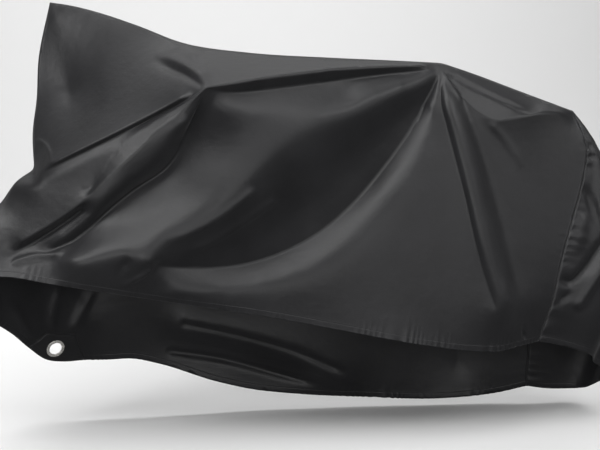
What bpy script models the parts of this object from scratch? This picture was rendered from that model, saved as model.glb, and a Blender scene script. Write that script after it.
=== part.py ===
"""Fitted cloth cover for a bicycle, in the shape in which it hangs on one.

Metres, +Z up.  The covered bicycle points along -X and its left side faces -Y.
The origin is the spot on the saddle that carries the cover, just under the cloth.

The cover is a skin of three cloth panels: one for each side of the bicycle,
joined along the crown seam from the nose to the rear corner, and a rear panel
that wraps the back wheel between them.  A small patch with a metal eyelet is
let into the far panel's hem.  Every panel is the same skin, cut at its seams.

A side panel is laid out flat in side view, as x and z.  Its crown, hem and folds
are rows of stations, and each station says how far out to the side the cloth is
there.  Between the rows the cloth is pulled taut, as a stretched sheet would be.
"""
import math
from collections import namedtuple

import bmesh
import bpy
import numpy as np
from mathutils import Matrix, Vector
from mathutils.geometry import delaunay_2d_cdt

# ----------------------------------------------------------------- driving sizes
CLOTH = 0.0015            # thickness of the cloth
SEAM_GAP = 0.0004         # between two panels that are sewn edge to edge
NEAR_MESH = 0.030         # distance between points on the near panel
FAR_MESH = 0.037          # and on the far panel
OPEN_REACH = 0.018        # how far bending spreads in the open cloth
REAR_STEPS = 18           # strips round the rear panel
FINE_STEP = 0.002         # spacing of a run that is only read off
FOLD_DRAW = 2.0e6         # how strongly a fold draws the cloth to its stations
FOLD_END = 0.07           # length over which a fold's end lets go of the cloth
SOLVED = 1e-16            # share of the pull that may be left when the cloth is taut
CLEAR_OF_LINES = 0.58     # free points keep this share of the spacing from every row
TUCK = 0.85               # how fast the rear panel turns away from its seams

# The tips that hold the cover up, as x, z and y.
FAR_GRIP = (-1.115, 0.175, 0.240)
SADDLE = (0.000, 0.003, 0.000)
REAR_CORNER = (0.400, -0.140, 0.000)
NOTCH = (-1.160, -0.285, 0.000)       # where the front panel meets the nose
NOSE = (-1.355, -0.580, -0.120)       # the lowest point of the front end
REAR_HEM = (0.280, -0.805, -0.110)    # the near panel's last point
FAR_REAR_HEM = (0.330, -1.020, 0.130)

# The eyelet in the far panel's front hem.
EYELET_X, EYELET_Z, EYELET_Y = -1.130, -0.846, 0.155
PATCH_SLOPE_X, PATCH_SLOPE_Z = 0.45, -0.30      # how the flat patch leans
EYELET_HOLE = 0.0225      # radius of the hole in the cloth
EYELET_BORE = 0.0190      # radius of the opening through the ring
EYELET_RIM = 0.0280       # radius of the ring's two flanges
EYELET_FLANGE = 0.0008    # thickness of a flange
EYELET_GAP = 0.0003       # between the ring and the cloth
PATCH_FRAME = 0.0340      # radius inside which the patch is dead flat
HOLE_SIDES = 20
BELOW_HEM = 0.2           # reach of the patch's outline past the hem, where nothing is

# ------------------------------------------------------------------------ seams
# Each run's stations are (x, z, y), with y to the far side.
NOSE_RUN = (NOSE, (-1.360, -0.510, -0.110), (-1.325, -0.430, -0.080),
            (-1.250, -0.370, -0.050), (-1.205, -0.310, -0.030), NOTCH)
FRONT_RUN = (NOTCH, (-1.165, -0.190, 0.060), (-1.155, -0.095, 0.130),
             (-1.150, 0.015, 0.190), FAR_GRIP)
TOP_FRONT_RUN = (FAR_GRIP, (-1.050, 0.165, 0.200), (-0.970, 0.145, 0.150),
                 (-0.865, 0.110, 0.090), (-0.730, 0.060, 0.010), (-0.555, 0.035, 0.000),
                 (-0.325, 0.020, 0.000), (-0.125, 0.010, 0.000), SADDLE)
TOP_REAR_RUN = (SADDLE, (0.085, -0.025, 0.000), (0.235, -0.080, 0.000), REAR_CORNER)
NEAR_SEAM_RUN = (REAR_CORNER, (0.415, -0.185, -0.025), (0.430, -0.245, -0.045),
                 (0.415, -0.330, -0.065), (0.375, -0.460, -0.090),
                 (0.345, -0.560, -0.105), (0.315, -0.695, -0.115), REAR_HEM)
FAR_SEAM_RUN = (REAR_CORNER, (0.415, -0.185, 0.025), (0.430, -0.260, 0.050),
                (0.405, -0.420, 0.085), (0.365, -0.620, 0.115), (0.340, -0.820, 0.130),
                FAR_REAR_HEM)
NEAR_HEM_RUN = (REAR_HEM, (0.215, -0.810, -0.135), (0.150, -0.815, -0.160),
                (0.055, -0.805, -0.180), (-0.100, -0.775, -0.200),
                (-0.325, -0.725, -0.200), (-0.525, -0.680, -0.200),
                (-0.735, -0.640, -0.200), (-0.960, -0.600, -0.190),
                (-1.115, -0.575, -0.170), (-1.250, -0.555, -0.150), NOSE)
PATCH_FRONT = (-1.205, -0.830)        # where the patch leaves the hem, and
PATCH_REAR = (-1.050, -0.900)         # where it comes back to it
PATCH_TOP = ((-1.150, -0.790), (-1.070, -0.810))
REAR_OUTLINE = (REAR_CORNER, (0.440, -0.195, 0.000), (0.490, -0.295, 0.000),
                (0.550, -0.455, 0.000), (0.585, -0.655, 0.000), (0.590, -0.830, 0.010),
                (0.545, -0.960, 0.015))


def patch_y(x, z):
    """The patch's own plane."""
    return EYELET_Y + PATCH_SLOPE_X * (x - EYELET_X) + PATCH_SLOPE_Z * (z - EYELET_Z)


def on_patch(x, z):
    return (x, z, patch_y(x, z))


FAR_HEM_RUN = (FAR_REAR_HEM, (0.245, -1.040, 0.140), (0.055, -1.055, 0.150),
               (-0.185, -1.045, 0.170), (-0.385, -1.030, 0.180), (-0.540, -1.010, 0.190),
               (-0.650, -0.980, 0.190), (-0.820, -0.920, 0.200), (-0.900, -0.900, 0.200),
               (-0.980, -0.900, 0.200), on_patch(*PATCH_REAR), on_patch(-1.105, -0.895),
               on_patch(-1.155, -0.880), on_patch(*PATCH_FRONT), (-1.245, -0.775, 0.070),
               (-1.285, -0.725, 0.010), (-1.330, -0.650, -0.070), NOSE)

# ------------------------------------------------------------------------ folds
# A row for each fold: its name, how far its rounding reaches to each side, and its
# stations from the end that is held down to the end that dies out, as (x, z, out).
# "out" is the distance from the middle plane to the panel's own side.
Fold = namedtuple("Fold", "name reach stations")
CREASE = 0.0              # the reach of a fold that is a sharp crease
NEAR_GRIP = (-0.695, -0.047, 0.240)       # where the near folds run together

NEAR_FOLDS = (
    Fold("cloth round the far grip", 0.020,
         ((-1.115, 0.175, -0.240), (-1.105, 0.145, -0.215), (-1.090, 0.095, -0.185),
          (-1.075, 0.030, -0.150), (-1.060, -0.080, -0.090))),
    Fold("ridge over the handlebar", 0.020,
         (NEAR_GRIP, (-0.690, -0.010, 0.190), (-0.700, 0.020, 0.125),
          (-0.715, 0.050, 0.045))),
    Fold("valley under the front panel", CREASE,
         (NEAR_GRIP, (-0.745, -0.080, 0.205), (-0.795, -0.110, 0.175),
          (-0.920, -0.175, 0.135), (-1.030, -0.230, 0.105), (-1.110, -0.270, 0.080),
          (-1.145, -0.285, 0.060))),
    Fold("rolled edge under the valley", 0.010,
         ((-0.960, -0.220, 0.135), (-1.030, -0.250, 0.125), (-1.090, -0.280, 0.110),
          (-1.150, -0.305, 0.085), (-1.195, -0.320, 0.065))),
    Fold("upper edge of the bright facet", CREASE,
         (NEAR_GRIP, (-0.760, -0.095, 0.205), (-0.810, -0.125, 0.180),
          (-0.865, -0.160, 0.162), (-0.920, -0.205, 0.152), (-0.970, -0.270, 0.157),
          (-1.005, -0.325, 0.171))),
    Fold("band edge", CREASE,
         (NEAR_GRIP, (-0.760, -0.112, 0.215), (-0.815, -0.155, 0.205),
          (-0.865, -0.205, 0.200), (-0.920, -0.255, 0.195), (-0.975, -0.308, 0.185),
          (-1.020, -0.350, 0.180), (-1.110, -0.415, 0.160), (-1.200, -0.470, 0.140))),
    Fold("groove under the band edge", CREASE,
         ((-1.020, -0.370, 0.150), (-1.085, -0.420, 0.130), (-1.150, -0.462, 0.115),
          (-1.215, -0.500, 0.110))),
    Fold("lip of the deep fold", 0.008,
         (NEAR_GRIP, (-0.725, -0.115, 0.225), (-0.800, -0.205, 0.205),
          (-0.870, -0.275, 0.195), (-0.930, -0.330, 0.190), (-0.990, -0.380, 0.180),
          (-1.045, -0.425, 0.165), (-1.110, -0.465, 0.150))),
    Fold("bottom of the deep fold", CREASE,
         (NEAR_GRIP, (-0.735, -0.150, 0.185), (-0.770, -0.230, 0.160),
          (-0.800, -0.270, 0.150), (-0.870, -0.315, 0.150), (-0.945, -0.370, 0.155),
          (-1.010, -0.430, 0.150), (-1.075, -0.475, 0.140), (-1.130, -0.495, 0.135))),
    Fold("ridge to the saddle", CREASE,
         (NEAR_GRIP, (-0.630, -0.040, 0.213), (-0.545, -0.028, 0.182),
          (-0.435, -0.017, 0.143), (-0.315, -0.008, 0.103), (-0.165, -0.004, 0.056),
          (-0.055, -0.003, 0.021))),
    Fold("groove under that ridge", CREASE,
         (NEAR_GRIP, (-0.620, -0.062, 0.188), (-0.515, -0.057, 0.148),
          (-0.400, -0.047, 0.110), (-0.285, -0.036, 0.075), (-0.130, -0.023, 0.036),
          (-0.040, -0.018, 0.017))),
    Fold("upper edge of the swag", 0.035,
         ((-0.045, -0.032, 0.036), (-0.140, -0.062, 0.080), (-0.260, -0.096, 0.125),
          (-0.380, -0.135, 0.165), (-0.495, -0.210, 0.200), (-0.565, -0.270, 0.218),
          (-0.620, -0.330, 0.230), (-0.690, -0.385, 0.240), (-0.765, -0.420, 0.248),
          (-0.840, -0.445, 0.248), (-0.910, -0.465, 0.240), (-0.985, -0.488, 0.225),
          (-1.060, -0.508, 0.205))),
    Fold("middle of the hollow", 0.040,
         ((-0.070, -0.095, 0.033), (-0.190, -0.170, 0.068), (-0.310, -0.240, 0.103),
          (-0.405, -0.305, 0.127), (-0.485, -0.365, 0.145), (-0.570, -0.420, 0.163),
          (-0.655, -0.462, 0.182), (-0.740, -0.485, 0.202))),
    Fold("bottom of the swag", CREASE,
         ((-0.012, -0.030, 0.017), (-0.050, -0.100, 0.017), (-0.095, -0.175, 0.030),
          (-0.180, -0.285, 0.052), (-0.270, -0.380, 0.074), (-0.365, -0.455, 0.097),
          (-0.480, -0.512, 0.121), (-0.600, -0.540, 0.146), (-0.710, -0.540, 0.173),
          (-0.790, -0.530, 0.198), (-0.845, -0.515, 0.225))),
    Fold("lower ridge of the swag", 0.035,
         ((-0.010, -0.030, 0.022), (-0.025, -0.080, 0.045), (-0.055, -0.175, 0.072),
          (-0.105, -0.255, 0.094), (-0.180, -0.340, 0.118), (-0.250, -0.420, 0.141),
          (-0.325, -0.488, 0.161), (-0.405, -0.538, 0.177), (-0.550, -0.583, 0.197),
          (-0.635, -0.597, 0.206), (-0.715, -0.600, 0.212), (-0.790, -0.592, 0.216))),
    Fold("long ridge below the saddle", CREASE,
         ((0.000, -0.035, 0.024), (0.004, -0.090, 0.066), (0.022, -0.175, 0.101),
          (0.045, -0.270, 0.125), (0.070, -0.375, 0.147), (0.095, -0.490, 0.168),
          (0.118, -0.575, 0.179), (0.150, -0.680, 0.190))),
    Fold("groove before the long ridge", CREASE,
         ((-0.008, -0.055, 0.030), (-0.005, -0.100, 0.048), (0.010, -0.180, 0.070),
          (0.030, -0.275, 0.093), (0.054, -0.380, 0.115), (0.079, -0.500, 0.140),
          (0.103, -0.590, 0.155), (0.135, -0.690, 0.178))),
    Fold("groove behind the long ridge", 0.010,
         ((0.028, -0.080, 0.046), (0.055, -0.160, 0.068), (0.085, -0.270, 0.088),
          (0.113, -0.380, 0.106), (0.142, -0.500, 0.126), (0.175, -0.630, 0.148))),
    Fold("rear edge of the saddle facet", CREASE,
         ((0.015, -0.022, 0.014), (0.045, -0.043, 0.022), (0.148, -0.091, 0.036),
          (0.250, -0.137, 0.050))),
    Fold("front edge of the saddle facet", CREASE,
         ((0.014, -0.035, 0.020), (0.048, -0.090, 0.050), (0.090, -0.133, 0.071),
          (0.135, -0.157, 0.084), (0.200, -0.152, 0.079), (0.290, -0.140, 0.058),
          (0.365, -0.146, 0.030))),
    Fold("knuckle", 0.010,
         ((-0.850, -0.508, 0.250), (-0.875, -0.523, 0.240), (-0.930, -0.563, 0.207))),
)

FAR_FOLDS = (
    Fold("front edge below the grip", 0.020,
         (FAR_GRIP, (-1.105, 0.145, 0.265), (-1.095, 0.080, 0.270),
          (-1.090, -0.080, 0.255), (-1.080, -0.300, 0.230), (-1.070, -0.520, 0.205),
          (-1.040, -0.700, 0.190))),
    Fold("ridge from the grip to the saddle", 0.020,
         ((-1.010, 0.090, 0.245), (-0.850, 0.010, 0.205), (-0.640, -0.045, 0.150),
          (-0.400, -0.055, 0.105), (-0.170, -0.040, 0.060))),
    Fold("upper edge of the swag", 0.020,
         ((-0.960, -0.020, 0.250), (-0.860, -0.180, 0.235), (-0.700, -0.290, 0.205),
          (-0.480, -0.290, 0.165), (-0.270, -0.180, 0.120), (-0.120, -0.085, 0.075))),
    Fold("bottom of the swag", CREASE,
         ((-0.060, -0.120, 0.045), (-0.160, -0.300, 0.060), (-0.320, -0.460, 0.090),
          (-0.540, -0.550, 0.125), (-0.780, -0.520, 0.170))),
    Fold("lower ridge of the swag", 0.020,
         ((-0.020, -0.130, 0.075), (-0.080, -0.350, 0.125), (-0.230, -0.560, 0.165),
          (-0.480, -0.700, 0.190), (-0.760, -0.690, 0.205))),
    Fold("long ridge below the saddle", CREASE,
         ((0.030, -0.130, 0.080), (0.070, -0.330, 0.130), (0.100, -0.560, 0.165),
          (0.115, -0.800, 0.180), (0.120, -0.960, 0.172))),
    Fold("dip behind the long ridge", 0.020,
         ((0.170, -0.250, 0.075), (0.215, -0.500, 0.115), (0.235, -0.760, 0.132))),
    Fold("upper of the slack folds by the hem", 0.018,
         ((-0.740, -0.800, 0.180), (-0.570, -0.840, 0.172), (-0.400, -0.895, 0.162),
          (-0.260, -0.960, 0.160))),
    Fold("groove between the slack folds", 0.018,
         ((-0.780, -0.845, 0.208), (-0.600, -0.885, 0.203), (-0.420, -0.945, 0.190))),
    Fold("nose fold", 0.020,
         ((-1.245, -0.460, 0.030), (-1.215, -0.570, 0.070), (-1.180, -0.690, 0.110))),
)

# Folds of the rear panel: where the fold starts and ends round the panel, from 0 at the
# near seam to 1 at the far seam, how deep it is, and how wide as a share of the panel.
RearFold = namedtuple("RearFold", "top bottom depth width")
REAR_FOLDS = (
    RearFold(top=0.16, bottom=0.24, depth=0.012, width=0.055),
    RearFold(top=0.34, bottom=0.17, depth=-0.016, width=0.060),
    RearFold(top=0.44, bottom=0.36, depth=0.010, width=0.050),
    RearFold(top=0.62, bottom=0.66, depth=-0.014, width=0.070),
    RearFold(top=0.80, bottom=0.84, depth=0.012, width=0.060),
)

BLACK_CLOTH = ("black coated cloth", (0.020, 0.020, 0.022, 1.0), 0.48, 0.0)
INNER_CLOTH = ("black patch cloth", (0.016, 0.016, 0.018, 1.0), 0.55, 0.0)
EYELET_METAL = ("nickelled brass", (0.62, 0.61, 0.58, 1.0), 0.28, 1.0)


# ------------------------------------------------------------------------ curves
def run_through(stations, spacing):
    """Points along a smooth curve that keeps every station as one of its points."""
    knots = np.array(stations, float)
    chords = np.linalg.norm(np.diff(knots, axis=0), axis=1)
    slopes = np.diff(knots, axis=0) / chords[:, None]
    tangents = np.vstack([slopes[:1], slopes[-1:]])
    if len(knots) > 2:
        share = (chords[1:] / (chords[:-1] + chords[1:]))[:, None]
        inner = share * slopes[:-1] + (1.0 - share) * slopes[1:]
        tangents = np.vstack([slopes[:1], inner, slopes[-1:]])
    points = [knots[0]]
    for i, chord in enumerate(chords):
        steps = max(1, round(chord / spacing))
        for k in range(1, steps + 1):
            t = k / steps
            points.append((2 * t**3 - 3 * t**2 + 1) * knots[i]
                          + (t**3 - 2 * t**2 + t) * chord * tangents[i]
                          + (3 * t**2 - 2 * t**3) * knots[i + 1]
                          + (t**3 - t**2) * chord * tangents[i + 1])
    return np.array(points)


def join_runs(*runs):
    """One open run from several that meet end to end."""
    return np.vstack([runs[0]] + [run[1:] for run in runs[1:]])


# ------------------------------------------------------------------ side panels
def inside(points, loop):
    """Which of the points lie inside a closed loop, both in (x, z)."""
    x, z = points[:, 0][:, None], points[:, 1][:, None]
    x0, z0 = loop[:, 0], loop[:, 1]
    x1, z1 = np.roll(x0, -1), np.roll(z0, -1)
    rise = np.where(z1 == z0, 1e-12, z1 - z0)
    crosses = ((z0 > z) != (z1 > z)) & (x < (x1 - x0) * (z - z0) / rise + x0)
    return crosses.sum(axis=1) % 2 == 1


def distance_to(points, line):
    """Each point's distance to a run, in (x, z)."""
    start, step = line[:-1, :2], np.diff(line[:, :2], axis=0)
    offset = points[:, None, :] - start[None]
    along = (offset * step).sum(-1) / np.maximum((step**2).sum(-1), 1e-12)
    nearest = start + np.clip(along, 0, 1)[..., None] * step
    return np.linalg.norm(points[:, None, :] - nearest, axis=-1).min(axis=1)


def lay_out(loop, lines, spacing, hole=None):
    """Triangles of a panel in (x, z), with an edge along every line."""
    low, high = loop[:, :2].min(axis=0), loop[:, :2].max(axis=0)
    row_height = spacing * math.sqrt(3) / 2
    lattice = [(x + (row % 2) * spacing / 2, z)
               for row, z in enumerate(np.arange(low[1], high[1], row_height))
               for x in np.arange(low[0], high[0], spacing)]
    lattice = np.array(lattice)
    lattice = lattice[inside(lattice, loop)]
    closed = np.vstack([loop, loop[:1]])
    for line in [closed] + lines:
        lattice = lattice[distance_to(lattice, line) > CLEAR_OF_LINES * spacing]

    points, pairs, count = [], [], 0
    for line in [closed] + lines:
        points.append(line[:, :2])
        pairs += [(count + i, count + i + 1) for i in range(len(line) - 1)]
        count += len(line)
    points = np.vstack(points + [lattice])
    flat = [Vector((float(x), float(z))) for x, z in points]
    verts, _, faces, sources, _, _ = delaunay_2d_cdt(flat, pairs, [], 0, 1e-6, True)
    verts = np.array([(v.x, v.y) for v in verts])
    faces = np.array(faces)
    middles = verts[faces].mean(axis=1)
    kept = inside(middles, loop)
    if hole is not None:
        kept &= ~inside(middles, hole)
    return verts, faces[kept], sources


def pull_taut(verts, faces, height, hold, creased, on_rim, reach):
    """Heights of a stretched and slightly stiff sheet that its rows hold.

    "hold" is 1 where the height is given for good, and from 0 to 1 where a fold draws
    the cloth towards it.  "slope" is the sheet's own Laplacian: what a point's
    neighbours pull it by.  The stiffness is free to hinge at creases and at the rim.
    "reach" is how far it rounds the cloth at each point: the tension is its inverse
    square.
    The equations are solved by conjugate gradients.
    """
    count = len(verts)
    ends, others, weights, area = [], [], [], np.zeros(count)
    for turn in range(3):
        i, j, k = (faces[:, (turn + step) % 3] for step in range(3))
        to_i, to_j = verts[i] - verts[k], verts[j] - verts[k]
        twice_area = np.abs(to_i[:, 0] * to_j[:, 1] - to_i[:, 1] * to_j[:, 0])
        ends.append(i)
        others.append(j)
        weights.append(0.5 * (to_i * to_j).sum(axis=1) / np.maximum(twice_area, 1e-12))
        area += np.bincount(k, twice_area / 6.0, count)
    ends, others, weights = map(np.concatenate, (ends, others, weights))
    tension = weights * 0.5 * (reach[ends] ** -2 + reach[others] ** -2)

    def slope(values, share=weights):
        flow = share * (values[ends] - values[others])
        return np.bincount(ends, flow, count) - np.bincount(others, flow, count)

    bend = np.where(creased | on_rim, 0.0, 1.0 / np.maximum(area, 1e-9))
    fixed = hold >= 1.0
    free = ~fixed & (area > 0)
    draw = np.where(fixed, 0.0, hold) * FOLD_DRAW

    def stretch(values):
        bent = slope(bend * slope(values))
        return np.where(free, bent + slope(values, tension) + draw * values, 0.0)

    answer = np.where(hold > 0, height, height[fixed].mean())
    rest = np.where(free, draw * height, 0.0) - stretch(answer)
    step, size = rest.copy(), float(rest @ rest)
    start = size
    while size > SOLVED * start:
        pulled = stretch(step)
        share = size / float(step @ pulled)
        answer += share * step
        rest -= share * pulled
        size, last = float(rest @ rest), size
        step = rest + size / last * step
    return answer


def side_panel(loop, folds, side, spacing, flat_lines=(), flat_loop=None, hole=None):
    """A side panel's points in space and its triangles; side is -1 near and 1 far."""
    rows = [np.vstack([loop, loop[:1]])]
    hold = [np.ones(len(loop) + 1)]
    sharp = [np.zeros(len(loop) + 1, bool)]
    for line in flat_lines:
        rows.append(line)
        hold.append(np.ones(len(line)))
        sharp.append(np.ones(len(line), bool))
    for fold in folds:
        line = run_through(fold.stations, spacing)
        line[:, 2] *= side
        steps = np.linalg.norm(np.diff(line, axis=0), axis=1)
        to_end = np.concatenate([np.cumsum(steps[::-1])[::-1], [0.0]])
        rows.append(line)
        hold.append(np.clip(to_end / FOLD_END, 0.02, 0.99))
        sharp.append(np.full(len(line), fold.reach == CREASE))

    verts, faces, sources = lay_out(loop, rows[1:], spacing, hole)
    rows, hold, sharp = np.vstack(rows), np.concatenate(hold), np.concatenate(sharp)
    height, grip = np.zeros(len(verts)), np.zeros(len(verts))
    creased, on_rim = np.zeros(len(verts), bool), np.zeros(len(verts), bool)
    for i, found in enumerate(sources):
        in_rows = [s for s in found if s < len(rows)]
        if in_rows:
            height[i], grip[i] = rows[in_rows[0], 2], hold[in_rows[0]]
            creased[i] = any(sharp[s] for s in in_rows)
            on_rim[i] = any(s <= len(loop) for s in in_rows)
    if flat_loop is not None:
        flat = inside(verts, flat_loop) & (grip < 1.0)
        height[flat] = patch_y(*verts[flat].T)
        grip[flat] = 1.0
    reach = np.full(len(verts), OPEN_REACH)
    for fold in folds:
        if fold.reach != CREASE:
            gap = distance_to(verts, np.array(fold.stations))
            reach[gap < 2.0 * fold.reach] = fold.reach
    height = pull_taut(verts, faces, height, grip, creased, on_rim, reach)

    used = np.unique(faces)
    renumber = np.full(len(verts), -1)
    renumber[used] = np.arange(len(used))
    points = np.column_stack([verts[:, 0], height, verts[:, 1]])[used]
    faces = renumber[faces]
    corner = points[faces]
    normal = np.cross(corner[:, 1] - corner[:, 0], corner[:, 2] - corner[:, 0])
    flipped = normal[:, 1] * side < 0
    faces[flipped] = faces[flipped][:, ::-1]
    return points, faces


# ------------------------------------------------------------------- rear panel
def rear_panel(near_seam, far_seam):
    """The rear panel's points and triangles, row by row from its top corner down."""
    rows = len(near_seam)
    outline = run_through(REAR_OUTLINE, FINE_STEP)
    travel = np.concatenate([[0.0], np.cumsum(np.linalg.norm(np.diff(outline, axis=0), axis=1))])
    points, ids = [np.array([near_seam[0, 0], near_seam[0, 2], near_seam[0, 1]])], []
    for i in range(rows):
        down = i / (rows - 1)
        near, far = near_seam[i], far_seam[i]
        back = np.array([np.interp(down * travel[-1], travel, outline[:, k]) for k in range(3)])
        row = []
        for j in range(REAR_STEPS + 1):
            if i == 0:
                row.append(0)
                continue
            turn = math.pi * (j / REAR_STEPS - 0.5)
            across = 0.5 + 0.5 * math.sin(turn)
            bulge = 0.0 if j in (0, REAR_STEPS) else math.cos(turn) ** TUCK
            x, z, y = near + (far - near) * across + (back - (near + far) / 2) * bulge
            ripple = rear_ripple(j / REAR_STEPS, down)
            x += ripple * math.cos(turn)
            y += ripple * math.sin(turn)
            row.append(len(points))
            points.append(np.array([x, y, z]))
        ids.append(row)
    faces = []
    for upper, lower in zip(ids[:-1], ids[1:]):
        for j in range(REAR_STEPS):
            if upper[j] != upper[j + 1]:
                faces.append((upper[j], lower[j], upper[j + 1]))
            faces.append((lower[j], lower[j + 1], upper[j + 1]))
    return np.array(points), np.array(faces)


def rear_ripple(around, down):
    """How far the rear panel's folds push it out, none of it at the two seams."""
    fade = math.sin(math.pi * around) ** 0.5 * min(1.0, 4.0 * down)
    total = 0.0
    for fold in REAR_FOLDS:
        middle = fold.top + (fold.bottom - fold.top) * down
        total += fold.depth * math.exp(-((around - middle) / fold.width) ** 2)
    return total * fade


# ------------------------------------------------------------------------- skin
def weld(panels):
    """One list of points for all the panels, so that a seam's points are shared."""
    points, numbers, welded = [], {}, {}
    for name, (own_points, faces) in panels.items():
        own = []
        for point in own_points:
            key = tuple(np.round(point, 5))
            if key not in numbers:
                numbers[key] = len(points)
                points.append(point)
            own.append(numbers[key])
        welded[name] = np.array(own)[faces]
    return np.array(points), welded


def unit(vectors):
    return vectors / np.maximum(np.linalg.norm(vectors, axis=1, keepdims=True), 1e-12)


def outward(points, panels):
    """The direction out of the cloth at each point, midway between panels at a seam."""
    total = np.zeros_like(points)
    for faces in panels:
        corner = points[faces]
        normal = np.cross(corner[:, 1] - corner[:, 0], corner[:, 2] - corner[:, 0])
        own = np.zeros_like(points)
        for k in range(3):
            np.add.at(own, faces[:, k], normal)
        total += unit(own)
    total = unit(total)
    around = total.copy()
    for faces in panels:
        for k in range(3):
            np.add.at(around, faces[:, k], unit(total[faces].sum(axis=1)))
    return unit(unit(around) + total)


def cut_edges(faces):
    """The edges round a piece, each in the direction of its own triangle."""
    edges = {(a, b) for tri in faces for a, b in zip(tri, np.roll(tri, -1))}
    return [(a, b) for a, b in edges if (b, a) not in edges]


def draw_back(points, normals, faces, shared):
    """A piece's points, with those on a seam moved into the piece by half the gap."""
    moved = points.copy()
    middles = points[faces].mean(axis=1)
    inward = np.zeros_like(points)
    for k in range(3):
        away = middles - points[faces[:, k]]
        away /= np.linalg.norm(away, axis=1, keepdims=True)
        np.add.at(inward, faces[:, k], away)
    inward -= normals * (inward * normals).sum(axis=1, keepdims=True)
    length = np.maximum(np.linalg.norm(inward, axis=1, keepdims=True), 1e-12)
    moved[shared] += (inward / length * SEAM_GAP / 2)[shared]
    return moved


def cloth_solid(name, points, normals, faces, shared, material):
    """A closed solid of the cloth's thickness, from the outer side inwards.

    Each edge wall is cut along the same diagonal on both sides of a seam, so that two
    twisted walls stay parallel.
    """
    outer = draw_back(points, normals, faces, shared)
    inner = outer - CLOTH * normals
    mesh = bmesh.new()
    made = {}

    def corner(side, index):
        if (side, index) not in made:
            source = outer if side else inner
            made[side, index] = mesh.verts.new(source[index])
        return made[side, index]

    for a, b, c in faces:
        mesh.faces.new([corner(1, i) for i in (a, b, c)])
        mesh.faces.new([corner(0, i) for i in (c, b, a)])
    for a, b in cut_edges(faces):
        turned = (a, b) if a < b else (b, a)
        mesh.faces.new([corner(1, b), corner(1, a), corner(0, turned[1])])
        mesh.faces.new([corner(0, a), corner(0, b), corner(1, turned[0])])
    return add_object(name, mesh, material)


def add_object(name, mesh, material):
    data = bpy.data.meshes.new(name)
    mesh.to_mesh(data)
    mesh.free()
    item = bpy.data.objects.new(name, data)
    bpy.context.scene.collection.objects.link(item)
    data.materials.append(finish(*material))
    data.shade_smooth()
    data.set_sharp_from_angle(angle=math.radians(40))
    return item


def finish(name, colour, roughness, metallic):
    """A plain material of the given colour and gloss."""
    material = bpy.data.materials.get(name) or bpy.data.materials.new(name)
    material.use_nodes = True
    shader = material.node_tree.nodes["Principled BSDF"]
    shader.inputs["Base Color"].default_value = colour
    shader.inputs["Roughness"].default_value = roughness
    shader.inputs["Metallic"].default_value = metallic
    return material


# ----------------------------------------------------------------------- eyelet
def patch_axes():
    """The patch's plane: along the hem, up the patch, and away to the far side."""
    away = Vector((-PATCH_SLOPE_X, 1.0, -PATCH_SLOPE_Z)).normalized()
    along = Vector((1.0, PATCH_SLOPE_X, 0.0)).normalized()
    return along, away.cross(along), away


def circle(radius):
    """A closed ring of stations on the patch's plane, round the eyelet."""
    along, up, _ = patch_axes()
    ring = []
    for k in range(HOLE_SIDES + 1):
        turn = 2 * math.pi * (k % HOLE_SIDES) / HOLE_SIDES
        step = radius * (math.cos(turn) * along + math.sin(turn) * up)
        ring.append(on_patch(EYELET_X + step.x, EYELET_Z + step.z))
    return np.array(ring)


def eyelet_ring():
    """A ring with a flange on each side of the cloth, turned from one profile."""
    barrel = EYELET_HOLE - 0.0008
    groove = (EYELET_GAP, -CLOTH - EYELET_GAP)
    profile = ((EYELET_BORE, groove[1] - EYELET_FLANGE),
               (EYELET_RIM, groove[1] - EYELET_FLANGE / 2), (EYELET_RIM, groove[1]),
               (barrel, groove[1]), (barrel, groove[0]),
               (EYELET_RIM, groove[0]), (EYELET_RIM, groove[0] + EYELET_FLANGE / 2),
               (EYELET_BORE, groove[0] + EYELET_FLANGE))
    mesh = bmesh.new()
    sides = 2 * HOLE_SIDES
    rings = []
    for k in range(sides):
        turn = 2 * math.pi * k / sides
        rings.append([mesh.verts.new((r * math.cos(turn), r * math.sin(turn), h))
                      for r, h in profile])
    for one, two in zip(rings, rings[1:] + rings[:1]):
        for j in range(len(profile)):
            k = (j + 1) % len(profile)
            mesh.faces.new((one[j], two[j], two[k], one[k]))
    place = Matrix(patch_axes()).transposed().to_4x4()
    place.translation = (EYELET_X, EYELET_Y, EYELET_Z)
    bmesh.ops.transform(mesh, matrix=place, verts=mesh.verts)
    bmesh.ops.recalc_face_normals(mesh, faces=mesh.faces)
    return add_object("eyelet_ring", mesh, EYELET_METAL)


# ------------------------------------------------------------------------ build
def clear_scene():
    for item in list(bpy.data.objects):
        bpy.data.objects.remove(item, do_unlink=True)


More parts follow.
